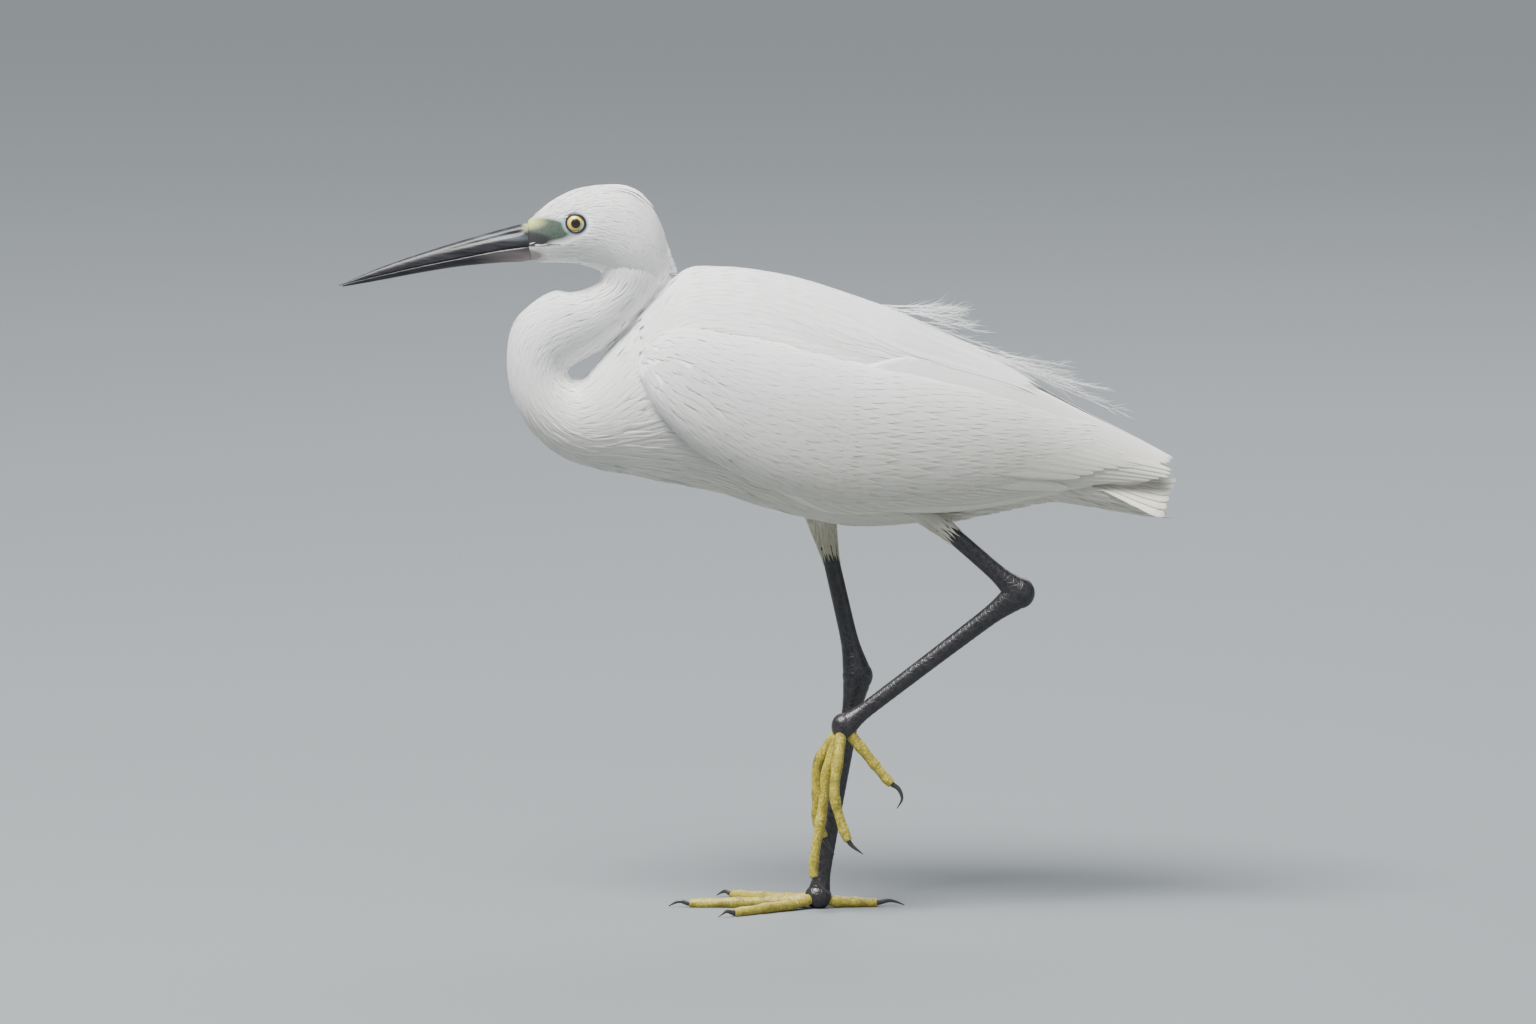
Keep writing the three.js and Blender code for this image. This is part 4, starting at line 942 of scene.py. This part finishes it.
def head_coat():
    """Short silky tufts on the head, finest by the bill and longer towards the nape."""
    root = scatter(head, (-129, -68.5), (0, 360), (1.3, 1.0), 0.9)
    points = head(root[:, 0], root[:, 1], 0 * root[:, 0])
    root = root[~bare_face(points) & ~inside_neck(points, -0.4)]
    grown = np.clip((root[:, 0] + 130) / 55, 0, 1)
    tip = tips_from(head, root, 2.6 + 6.4 * grown, 0, 0.16)
    return lay(head, root, tip, 0.8 + 0.8 * grown, (-0.24, 0.05), tuft, 3, 2, camber=0.04, thick=0.06,
               chart=HEAD_CHART)


def neck_coat():
    """Silky tufts down the neck, growing longer and broader towards the breast."""
    root = scatter(neck, (0.4, 12.05), (0, 360), (2.0, 1.3), 0.9)
    points = neck(root[:, 0], root[:, 1], 0 * root[:, 0])
    keep = ~inside(HEAD, points, -2) & (~inside(TRUNK, points, -0.3, -0.3) | (root[:, 0] > 11.8))
    crowded = scale_of(neck, root[:, 0], root[:, 1], 0 * root[:, 0])[0] < 2
    root = root[keep & ~crowded]
    grown = np.clip(root[:, 0] / 12, 0, 1)
    tip = tips_from(neck, root, 7 + 6 * grown, 0, 0.12, 0.85)
    return lay(neck, root, tip, 1.4 + 1.4 * grown, (-0.3, 0.06), tuft, 4, 2, camber=0.04, thick=0.06,
               chart=NECK_CHART)


def crest():
    """Short loose plumes at the back of the crown."""
    count = 26
    spread = rng.random(count) - 0.5
    root = np.stack([-96 + 10 * rng.random(count), 90 + 44 * spread], -1)
    tip = np.stack([-79 + 6 * rng.random(count), 90 + 50 * spread], -1)
    return lay(head, root, tip, 1.5, (0.1, 1.0 + 0.8 * rng.random(count)), lance, 5, 2, camber=0.15,
               chart=HEAD_CHART)


def breast_plumes():
    """Long narrow plumes from the lower foreneck, hanging over the breast."""
    root = scatter(neck, (8.6, 11.6), (-80, 80), (5.2, 3.0), 0.9)
    tip = tips_from(neck, root, 15 + 7 * rng.random(len(root)), 0, 0.14, 1.2)
    on_neck = lay(neck, root, tip, 2.6, (-0.3, 0.25), lance, 6, 2, camber=0.1, thick=0.07, chart=BREAST_CHART)
    root = scatter(trunk, (-96, -44), (-165, -15), (4.6, 2.6), 0.9)
    tip = tips_from(trunk, root, 19 + 10 * rng.random(len(root)), 0, 0.12)
    on_trunk = lay(trunk, root, tip, 2.8, (-0.3, 0.3), lance, 6, 2, camber=0.1, thick=0.07,
                   chart=((-110, 120), (-180, 180)))
    return [on_neck, on_trunk]


feather_piece("head_coat", [head_coat()], COAT, 0.85)
feather_piece("neck_coat", [neck_coat()], COAT, 0.85)
feather_piece("crest_plumes", [crest()], COAT, 0.6)
feather_piece("breast_plumes", breast_plumes(), COAT, 0.7)


# Body coat


def body_coat():
    """Contour feathers over the trunk: broad and smooth, growing longer and broader towards the tail."""
    root = scatter(trunk, (-96, 108), (-178, 180), (4.4, 3.2), 0.8)
    points = trunk(root[:, 0], root[:, 1], 0 * root[:, 0])
    x, phi = root.T
    up = np.where(np.abs(phi) > 90, 180 * np.sign(phi) - phi, phi)
    upper, lower = along(WING_CORE, "upper", x), along(WING_CORE, "lower", x)
    under_wing = (x > -58) & (up < upper - 8) & (up > lower + 14)
    under_mantle = (x > -30) & (up > 30)
    root = root[~(inside_neck(points, -1) | inside(HEAD, points, -1) | under_wing | under_mantle)]
    grown = np.clip((root[:, 0] + 95) / 90, 0, 1)
    tip = tips_from(trunk, root, 12 + 6 * grown, 0, 0.1)
    return lay(trunk, root, tip, 4.6 + 1.4 * grown, (-0.34, 0.04), lance, 5, 4, camber=0.05, thick=0.05,
               fray=0.03, chart=TRUNK_CHART)


def vent_down():
    """Loose down behind the thighs and under the tail."""
    root = scatter(trunk, (44, 110), (-140, -40), (4.4, 3.2), 1.0)
    tip = tips_from(trunk, root, 12 + 6 * rng.random(len(root)), 0, 0.35)
    return lay(trunk, root, tip, 2.2, (-0.3, 1.6), tuft, 4, 2, camber=0.3, chart=TRUNK_CHART)


def thigh_surface(leg):
    """The thigh as a surface: share along it in hundredths, angle in degrees, lift.

    Its cross section is an ellipse, THIGH_SLIM times as wide as it is deep.
    """
    centre, tangent, edge = upper_leg(leg)
    top, end = leg["thigh"]
    share = np.linspace(0, 1, len(centre))

    def place(u, v, lift):
        """The middle line's point at the share, and from there the ellipse's reach at the angle."""
        reached = lambda rows: stack(*[np.interp(u / 100 * edge, share, row) for row in rows.T])
        middle, forwards = reached(centre), reached(tangent)
        rise = np.cross(forwards, np.array([0, 1.0, 0]))
        rise /= np.linalg.norm(rise, axis=-1, keepdims=True)
        across = np.cross(rise, forwards)
        radius = top + (end - top) * np.clip(u / 100, 0, 1.1) ** 0.8 + lift
        turned = np.radians(v)
        out, up = radius * THIGH_SLIM * np.cos(turned), radius * np.sin(turned)
        return middle + out[..., None] * across + up[..., None] * rise

    return place


def thigh_coat(leg, first):
    """Short tufts down the thigh that thin out over the top of the bare shank."""
    place = thigh_surface(leg)
    root = scatter(place, (first, 101), (0, 360), (1.8, 1.2), 0.9)
    tip = tips_from(place, root, 5.5 + 2.5 * rng.random(len(root)), 0, 0.2)
    return lay(place, root, tip, 1.1, (-0.35, 0.2), tuft, 3, 2, camber=0.12, chart=((-5, 120), (-10, 370)))


feather_piece("body_coat", [body_coat()], COAT, 0.85)
feather_piece("vent_down", [vent_down()], COAT)
feather_piece("thigh_coat", [thigh_coat(LEGS["right"], 20), thigh_coat(LEGS["left"], 35)], COAT)


# Wings


def between(first, last, count, curve):
    """Evenly spaced pairs from the first to the last, with a bow in the second number."""
    t = np.linspace(0, 1, count)[:, None]
    pairs = np.asarray(first, float) * (1 - t) + np.asarray(last, float) * t
    pairs[:, 1] += curve * np.sin(np.pi * t[:, 0])
    return pairs


# Primaries, secondaries and tertials: x and angle of the first and the last root and tip of each row.
WING_ROWS = [
    {"count": 9, "roots": [(14, -38), (22, -14)], "tips": [(112, -40), (160, 30)], "width": 13,
     "lift": (1.2, 0.8), "bend": -4, "curve": 0, "reach": 13, "step": 0.12, "tilt": 0.3},
    {"count": 16, "roots": [(-46, -20), (26, 4)], "tips": [(10, -49), (112, -36)], "width": 12.5,
     "lift": (3.2, 2.2), "bend": -2, "curve": 1, "reach": 0, "step": 0.0, "tilt": 0.3},
    {"count": 16, "roots": [(10, -4), (22, 29)], "tips": [(118, -20), (159, 84)], "width": 14,
     "lift": (4.0, 2.6), "bend": 3, "curve": 0, "reach": 15, "step": -0.15, "tilt": 0.25},
]


def wing_rows(place):
    """The rows of long wing feathers, each feather's tip reaching further in the middle of its row."""
    layers = []
    for row in WING_ROWS:
        count, (low, high) = row["count"], row["lift"]
        root = between(*row["roots"], count, 0)
        tip = between(*row["tips"], count, row["curve"])
        bow = row["reach"] * np.sin(np.linspace(0, np.pi, count))
        tip[:, 0] += bow + 1.6 * (rng.random(count) - 0.5)
        step = row["step"] * np.arange(count)
        layers.append(
            lay(place, root, tip, row["width"], (low + step, high + step), rounded, 22, 8, bend=row["bend"],
                tilt=row["tilt"], camber=0.12, thick=0.12, fray=0.03, chart=((-60, 40), (-50, 45)))
        )
    return layers


def long_coverts(place):
    """Feathers over the whole folded wing, row behind row, each row longer than the one before."""
    layers, rows, count = [], 17, 22
    for k in range(rows):
        share = k / (rows - 1)
        across = 2 + 95 * (np.arange(count) + 0.5 * (k % 2) + 0.4 * rng.random(count)) / count
        start = -36 + 118 * share + 5 * (rng.random(count) - 0.5)
        end = np.minimum(start + 17 + 31 * share + 5 * rng.random(count), 128 - 5 * rng.random(count))
        root, tip = np.stack([start, across], -1), np.stack([end, across + 3], -1)
        lift = (-0.5 - 0.5 * share, 0.12 - 1.5 * share**3)
        layers.append(
            lay(place, root, tip, 9 + 2 * share, lift, lance, 14, 4, tilt=0.05, camber=0.06, thick=0.05,
                fray=0.04, chart=((-60, 140), (-10, 110)))
        )
    return layers


def covert_coat(place):
    """Small coverts over the wing's arm, row over row, growing towards the long coverts."""
    root = scatter(place, (-79.5, 6), (1, 97), (3.4, 3.0), 0.8)
    grown = np.clip((root[:, 0] + 80) / 90, 0, 1)
    tip = tips_from(place, root, 9 + 7 * grown, 0.2, 0.08)
    return lay(place, root, tip, 4.2 + 2.4 * grown, (-0.34, 0.04), lance, 5, 4, camber=0.05, thick=0.05,
               fray=0.03, chart=((-90, 40), (-10, 110)))


def wing_bed_grid(turn):
    """The wing's arm as rings: its outer face, then its inner face close over the flank."""
    x = np.linspace(WING_CORE["x"][0], WING_CORE["x"][-1], 70)[:, None]
    v = np.linspace(0, 100, 25)[None]
    phi = along(WING_CORE, "upper", x) * (1 - v / 100) + along(WING_CORE, "lower", x) * v / 100
    outer, inner = turn(wing_bed)(x, v, -0.6), turn(dress)(x, phi, 0.2)
    return np.concatenate([outer, inner[:, -2:0:-1]], axis=1)


def wing_tip_bed():
    """White backing between wing tips and tail: the folded wings' section, shrunk to a blunt end."""
    x = np.linspace(84, 154, 40)[:, None]
    sunk = -2.2 - 6 * np.clip((x - 136) / 18, 0, 1) ** 2
    return dress(x, round_angles(48), sunk)


new_piece("wing_tip_bed", *loft(wing_tip_bed()), SKIN, "plumage")
for side, turn in (("left", lambda place: place), ("right", mirrored)):
    bed = new_piece(f"wing_arm_{side}", *loft(wing_bed_grid(turn)), SKIN, "plumage")
    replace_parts(bed, f"wing_{side}")
    feather_piece(f"wing_feathers_{side}", wing_rows(turn(dress)), FEATHER, 0.6)
    feather_piece(f"wing_long_coverts_{side}", long_coverts(turn(wing_top)), FEATHER, 0.93)
    feather_piece(f"wing_coverts_{side}", [covert_coat(turn(wing_top))], COAT, 0.93)


# Back


# Angle above which the mantle covers the folded wings.
PARTING = {
    "x": [-80, -45, -16, 15, 37, 60, 82, 98, 108, 116],
    "phi": [38, 33, 31, 34, 37, 41, 42, 46, 60, 80],
}


def mantle(place, chart):
    """Long feathers over the back, row behind row, each row longer and wider than the one before."""
    layers, rows, count = [], 13, 17
    for k in range(rows):
        share = k / (rows - 1)
        start = -78 + 9.5 * k
        spread = np.linspace(0, 1, count) + 0.03 * (rng.random(count) - 0.5)
        x0 = start + 5 * (rng.random(count) - 0.5)
        x1 = np.minimum(x0 + 26 + 34 * share + 5 * rng.random(count), 118 - 4 * rng.random(count))
        low0, low1 = (along(PARTING, "phi", x) + 1.5 for x in (x0, x1))
        root = np.stack([x0, low0 + (92 - low0) * spread], -1)
        tip = np.stack([x1, low1 + (91 - low1) * spread], -1)
        base = 0.2 + 1.8 * np.clip((start + 40) / 70, 0, 1) * np.clip(spread / 0.25, 0, 1)
        layers.append(
            lay(place, root, tip, 9 + 2 * share, (base - 0.32, base + 0.14), lance, 14, 4, tilt=0.06,
                camber=0.07, thick=0.06, fray=0.04, chart=chart)
        )
    return layers


left_mantle = mantle(dress, ((-90, 60), (-10, 200)))
right_mantle = mantle(mirrored(dress), ((-90, 60), (200, -10)))
back = feather_piece("mantle_feathers", left_mantle + right_mantle, FEATHER, 0.88)
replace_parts(back, "scapulars")


# Wisps on mid back, then straighter plumes towards the tail: ranges of x and lift at root and tip in
# millimetres, their spread to both sides in degrees, and the height of their bow.
PLUMES = (
    {"count": 9, "root_x": (22, 46), "root_lift": 1.6, "tip_x": (62, 86), "tip_lift": (5, 17),
     "spread": 16, "bow": 2.4},
    {"count": 11, "root_x": (60, 86), "root_lift": 2.2, "tip_x": (104, 141), "tip_lift": (7, 17),
     "spread": 12, "bow": -0.6},
)


def drawn(span, count):
    """Random values between two ends."""
    return span[0] + (span[1] - span[0]) * rng.random(count)


def plume_strands():
    """Fine plumes from the back: curled wisps over mid back and straight ones lying towards the tail.

    Each shaft carries slanting barbs on both sides, shorter towards its tip.
    """
    groups, barbs = [], 26
    for plume in PLUMES:
        count = plume["count"]
        phi = 90 + plume["spread"] * (2 * rng.random(count) - 1)
        x0, x1, lifted = (drawn(plume[key], count) for key in ("root_x", "tip_x", "tip_lift"))
        roots, tips = dress(x0, phi, plume["root_lift"] + 0 * x0), dress(x1, 90 + 0.8 * (phi - 90), lifted)
        wave = np.stack([0 * x0, rng.normal(0, 1.2, count), plume["bow"] * rng.random(count) - 0.8], -1)
        groups.append(strands(roots, tips, wave, 0.2, 12))
        s = np.tile(np.linspace(0.25, 0.97, barbs), count)[:, None]
        pick = np.repeat(np.arange(count), barbs)
        foot = roots[pick] * (1 - s) + tips[pick] * s + 4 * s * (1 - s) * wave[pick]
        run = (tips - roots)[pick] / np.linalg.norm((tips - roots)[pick], axis=1, keepdims=True)
        side = np.stack([0 * s[:, 0], rng.choice([-1, 1], len(s)), rng.normal(0.3, 0.7, len(s))], -1)
        reach = (7 + 6 * rng.random(len(s)))[:, None] * (1.15 - 0.6 * s)
        end = foot + reach * (run + 0.32 * side)
        groups.append(strands(foot, end, rng.normal(0, 0.35, (len(s), 3)), 0.09, 5))
    return groups


groups = plume_strands()
points, faces = joined([group[:2] for group in groups])
plumes = new_piece("back_plumes", points, faces, PLUME, "plumage")
set_tone(plumes, np.concatenate([group[2] for group in groups]))
set_uv(plumes, "OFBake", (points[:, :2] + 60) / 260)


# Tail


TAIL = {"x": (116, 160.5), "top": (203.5, 194.6), "half": 15}
TAIL_CORE = {
    "x": [108, 112.3, 120, 128, 134],
    "top": [221, 218.6, 211, 203.6, 198.6],
    "bottom": [187, 187.4, 186.6, 187.4, 190.5],
    "half": [13, 11.8, 9.5, 7, 4],
}
# Under the tail, where the bottom falls to the tail's lower edge.
VENT = {
    "x": [98, 108, 120, 135, 150, 160],
    "top": [222, 215, 206, 200, 196, 194],
    "bottom": [185.8, 185, 183.6, 181, 178.6, 177.8],
    "half": [17, 13.5, 12, 11.5, 11, 10.5],
}
rump = partial(barrel, TAIL_CORE)
vent = partial(barrel, VENT)


def tail_surface(x, y, lift):
    """The tail's shallow roof over x and y: it falls to the tip and away from the middle."""
    (start, end), (high, low) = TAIL["x"], TAIL["top"]
    t = (x - start) / (end - start)
    roof = high + (low - high) * t - (6 + 8.5 * t) * (np.abs(y) / TAIL["half"]) ** 1.5
    return stack(x, y, roof + lift)


def tail():
    """Twelve tail feathers, the middle pair uppermost."""
    rank = np.repeat(np.arange(1, 7), 2)
    side = np.tile([-1, 1], 6)
    root = np.stack([112 + rank * 0.5, side * (rank - 0.5) * 0.9], -1)
    tip = np.stack([161.5 - (rank - 1) * 1.1, side * (rank - 0.5) * 2.5], -1)
    return lay(tail_surface, root, tip, 10.5, (-rank * 0.6, 1.6 - rank * 0.75), rounded, 18, 8,
               tilt=-side * 0.35, camber=0.25, thick=0.2, fray=0.08)


def tail_coverts():
    """Soft coverts over and under the root of the tail."""
    root = scatter(rump, (104, 132), (-178, 180), (4.6, 4.2), 0.8)
    tip = tips_from(rump, root, 13 + 5 * rng.random(len(root)), 0, 0.15)
    return lay(rump, root, tip, 5.2, (-0.5, 0.5), rounded, 5, 4, camber=0.25, fray=0.15,
               chart=((100, 140), (-190, 190)))


def under_coverts():
    """Long soft coverts under the tail, reaching most of the way along it."""
    root = scatter(vent, (96, 138), (-172, -8), (4.2, 3.4), 0.9)
    tip = tips_from(vent, root, 17 + 5 * rng.random(len(root)), 0, 0.1)
    return lay(vent, root, tip, 5, (-0.6, 0.2), lance, 7, 4, camber=0.15, thick=0.1, fray=0.15,
               chart=((90, 165), (-190, 190)))


feather_piece("tail_feathers", [tail()], FEATHER)
core_x = np.linspace(TAIL_CORE["x"][0], TAIL_CORE["x"][-1], 30)[:, None]
tail_root = new_piece("tail_root", *loft(rump(core_x, round_angles(40), -0.9)), SKIN, "plumage")
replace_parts(tail_root, "tail")
feather_piece("tail_coverts", [tail_coverts(), under_coverts()], COAT, 0.8)


# Bill and eyes


GROOVE = {"x": (131, 172), "fades": (3, 30), "angle": 0.72, "width": 0.13, "depth": 0.13}
LID_RING = {"y": 11.5, "radius": 4.2, "thick": 0.6, "squash": 0.96, "lean": 0.22}


def jaw(edge, shorter):
    """Half-round sections from the mouth line to the outer edge, with a groove along the upper jaw."""
    sign = 1 if edge == "culmen" else -1
    x = np.linspace(BILL["x"][0] - 1.6, BILL["x"][-1] - shorter, 90)[:, None]
    mouth = along(BILL, "mouth", x) + sign * 0.15
    depth = np.maximum(sign * (along(BILL, edge, x) - mouth), 0.15)
    tuck = 0.9 + 0.1 * np.clip((x - BILL["x"][0] + 1.6) / 3.4, 0, 1)
    half, depth = along(BILL, "half", x) * tuck, depth * tuck
    a = np.linspace(0, np.pi, 37)[None]
    groove = np.zeros_like(a * x)
    if edge == "culmen":
        (start, end), (rise, fall) = GROOVE["x"], GROOVE["fades"]
        strength = np.clip((x - start) / rise, 0, 1) * np.clip((end - x) / fall, 0, 1)
        for centre in (GROOVE["angle"], np.pi - GROOVE["angle"]):
            groove = groove + GROOVE["depth"] * strength * np.exp(-(((a - centre) / GROOVE["width"]) ** 2))
    round_z = mouth + sign * depth * np.sin(a) ** 0.85 * (1 - 0.5 * groove)
    ring = stack(-x, half * np.cos(a) * (1 - groove), round_z)
    flat = np.linspace(1, -1, 14)[None, 1:-1]
    return loft(np.concatenate([ring, stack(-x, -half * flat, mouth)], axis=1))


def ball(centre, radius, rings, sides, scale=(1, 1, 1), axis=1):
    """Rings of a ball about the Y or the Z axis, with small closed ends."""
    a = np.linspace(0.04, np.pi - 0.04, rings)[:, None]
    b = np.linspace(0, 2 * np.pi, sides, endpoint=False)[None]
    parts = [np.sin(a) * np.cos(b), np.cos(a) + 0 * b, np.sin(a) * np.sin(b)]
    order = {1: (0, 1, 2), 2: (0, 2, 1)}[axis]
    grid = np.stack([parts[k] for k in order], -1)
    return np.asarray(centre) + radius * grid * np.asarray(scale)


def eyelid(sign):
    """A ring round the eye: a small circle carried round a larger one that leans with the face."""
    a = np.linspace(0, 2 * np.pi, 48, endpoint=False)[:, None]
    b = np.linspace(0, 2 * np.pi, 14, endpoint=False)[None]
    out = LID_RING["radius"] + LID_RING["thick"] * np.cos(b)
    x = out * np.cos(a)
    y = sign * (LID_RING["y"] + LID_RING["thick"] * np.sin(b) + LID_RING["lean"] * x)
    grid = stack(EYE["x"] + x, y, EYE["z"] + LID_RING["squash"] * out * np.sin(a))
    index = np.arange(a.size * b.size).reshape(a.size, b.size)
    down, right = np.roll(index, -1, axis=0), np.roll(index, -1, axis=1)
    quads = np.stack([index, right, np.roll(down, -1, axis=1), down], -1).reshape(-1, 4)
    points = grid.reshape(-1, 3)
    return points, facing_out(points, [quads])


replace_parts(new_piece("bill_upper_horn", *jaw("culmen", 0.0), HORN, "bill"), "bill_upper")
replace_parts(new_piece("bill_lower_horn", *jaw("keel", 1.6), HORN, "bill"), "bill_lower")
for side, sign in (("left", -1), ("right", 1)):
    globe = ball((EYE["x"], sign * EYE["y"], EYE["z"]), EYE["radius"], 40, 64)
    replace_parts(new_piece(f"eye_ball_{side}", *loft(globe), IRIS, "eye"), f"eye_{side}")
    new_piece(f"eyelid_{side}", *eyelid(sign), LID, "bill")


# Legs and feet


def swell(t, at, width, amount):
    """A small swelling round one share of the length."""
    return amount * np.exp(-(((t - at) / width) ** 2))


def scutes(count, depth):
    """A given number of ridges along a limb, strongest on its front."""
    return lambda t, a: 1 + depth * np.abs(np.sin(np.pi * t * count)) ** 0.6 * (0.6 + 0.4 * np.sin(a))


def limb(name, centre, tangent, radius, made, slot, **extra):
    """One closed limb piece round a path."""
    return new_piece(name, *loft(tube(centre, tangent, radius, **extra)), made, slot)


def toe_profile(t):
    """Toe radius: a taper with a swelling at each joint."""
    return 2.5 - 0.6 * t + sum(swell(t, at, 0.06, 0.35) for at in (0.3, 0.62, 0.9))


def ground_path(claw, bearing, length):
    """A toe lying on the floor along a bearing, then its claw with the tip down."""
    a = np.radians(bearing)
    at = lambda distance, height: (-np.cos(a) * distance, np.sin(a) * distance, height)
    return [at(2, 4.6), at(length * 0.3, 2.9), at(length * 0.65, 2.3), at(length, 1.75),
            at(length + claw * 0.5, 2.65), at(length + claw, 0.5)]


def make_toe(side, name, path, claw, floor):
    """One toe with its claw, cut where the claw leaves the skin, and the claw sunk a little into the toe."""
    count, sunk = 150, 3
    centre, tangent, length = path_points(path, count)
    cut = int(count * (1 - claw / length))
    radius = toe_profile(np.linspace(0, 1, cut))
    piece = limb(
        f"toe_skin_{side}_{name}", centre[:cut], tangent[:cut], radius, TOE, "toe",
        slim=0.95, sides=28, bump=scutes(int(length / 2.4), 0.05), floor=floor,
    )
    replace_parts(piece, f"toe_{side}_{name}")
    first = cut - sunk
    radius = 1.3 - 1.1 * np.linspace(0, 1, count - first) ** 1.2
    piece = limb(
        f"claw_horn_{side}_{name}", centre[first:], tangent[first:], radius, CLAW, "claw",
        slim=0.72, sides=20, floor=floor,
    )
    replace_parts(piece, f"claw_{side}_{name}")


def make_leg(side, toes, floor):
    """Bare shank with the ankle, tarsus, knuckle and toes."""
    leg = LEGS[side]
    centre, tangent, edge = upper_leg(leg, 160)
    share, start = np.linspace(0, 1, 160), edge * 0.9
    keep = share > start
    t = (share[keep] - start) / (1 - start)
    radius = 3.7 * (1 + 0.1 * t**2) + swell(t, 1.0, 0.17, 2.3)
    shank = loft(tube(centre[keep], tangent[keep], radius, 32))
    ankle = loft(ball(leg["ankle"], 6.6, 30, 40, (1.04, 0.82, 1.08)))
    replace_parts(new_piece(f"shank_skin_{side}", *joined([shank, ankle]), LEG, "leg"), f"shank_{side}")
    centre, tangent, length = path_points([leg["ankle"], leg["knuckle"]], 200)
    t = np.linspace(0, 1, 200)
    radius = hermite([0, 0.5, 1], [4.4, 3.7, 3.5], t) + swell(t, 0.0, 0.1, 1.9) + swell(t, 1.0, 0.07, 1.7)
    ridges = scutes(int(length / 3.4), 0.025)
    piece = limb(f"tarsus_skin_{side}", centre, tangent, radius, LEG, "leg", bump=ridges, sides=36)
    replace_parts(piece, f"tarsus_{side}")
    size, scale = leg["knob"]
    grid = ball(leg["knuckle"], size, 30, 40, scale, axis=2)
    if floor is not None:
        grid[..., 2] = np.maximum(grid[..., 2], floor)
    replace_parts(new_piece(f"knuckle_skin_{side}", *loft(grid), LEG, "leg"), f"foot_{side}")
    for name, (claw, path) in toes.items():
        make_toe(side, name, path, claw, floor)


grounded = {name: (toe[0], ground_path(*toe)) for name, toe in GROUND_TOES.items()}
make_leg("right", grounded, 0.0)
make_leg("left", RAISED_TOES, None)


# Floor, lights and camera


# In metres and watts. The turns and the elevation are in degrees, the sun's spread in radians.
SUN = {"strength": 3.5, "spread": 0.6, "turn": (28, -14, 0)}
AIM = (-0.02, 0, 0.2)
LIGHTS = (
    ("key", (-0.8, -0.7, 2.2), 1.0, 120, (1, 0.98, 0.945)),
    ("fill", (1.6, -1.7, 0.8), 1.8, 6, (0.94, 0.97, 1)),
    ("back", (0.5, 1.7, 1.7), 1.4, 34, (0.97, 0.99, 1)),
)
SKY = {"colour": (0.72, 0.78, 0.84, 1), "strength": 0.45}
CAMERA = {"target": (-0.02205, 0, 0.1804), "elevation": 8, "distance": 8, "lens": 416.8}


def make_floor():
    """A plain pale floor that fills the view."""
    mesh = bpy.data.meshes.new("floor")
    mesh.from_pydata([(-20, -12, 0), (20, -12, 0), (20, 28, 0), (-20, 28, 0)], [], [(0, 1, 2, 3)])
    mesh.materials.append(material("floor_pale_matt", (0.175, 0.19, 0.2), 0.9))
    floor = bpy.data.objects.new("floor", mesh)
    bpy.context.scene.collection.objects.link(floor)


def make_sun():
    """A wide soft sun for the open sky."""
    sun = bpy.data.lights.new("sky_glow", "SUN")
    sun.energy = SUN["strength"]
    sun.angle = SUN["spread"]
    glow = bpy.data.objects.new("sky_glow", sun)
    glow.rotation_euler = np.radians(SUN["turn"])
    bpy.context.scene.collection.objects.link(glow)


def make_light(name, place, size, power, colour):
    """A square soft light turned to the middle of the bird."""
    data = bpy.data.lights.new(name, "AREA")
    data.size = size
    data.energy = power
    data.color = colour
    light = bpy.data.objects.new(name, data)
    light.location = place
    light.rotation_euler = (Vector(AIM) - Vector(place)).to_track_quat("-Z", "Y").to_euler()
    bpy.context.scene.collection.objects.link(light)


def make_sky():
    """A plain pale sky."""
    world = bpy.data.worlds.new("world")
    world.use_nodes = True
    background = world.node_tree.nodes["Background"]
    background.inputs["Color"].default_value = SKY["colour"]
    background.inputs["Strength"].default_value = SKY["strength"]
    bpy.context.scene.world = world


def make_camera():
    """A long lens at the photograph's low angle, aimed at the middle of its frame."""
    elevation = np.radians(CAMERA["elevation"])
    away = Vector((0, -np.cos(elevation), np.sin(elevation)))
    data = bpy.data.cameras.new("camera")
    data.lens = CAMERA["lens"]
    camera = bpy.data.objects.new("camera", data)
    camera.location = Vector(CAMERA["target"]) + away * CAMERA["distance"]
    camera.rotation_euler = (-away).to_track_quat("-Z", "Y").to_euler()
    bpy.context.scene.collection.objects.link(camera)
    bpy.context.scene.camera = camera


make_floor()
make_sun()
for light in LIGHTS:
    make_light(*light)
make_sky()
make_camera()
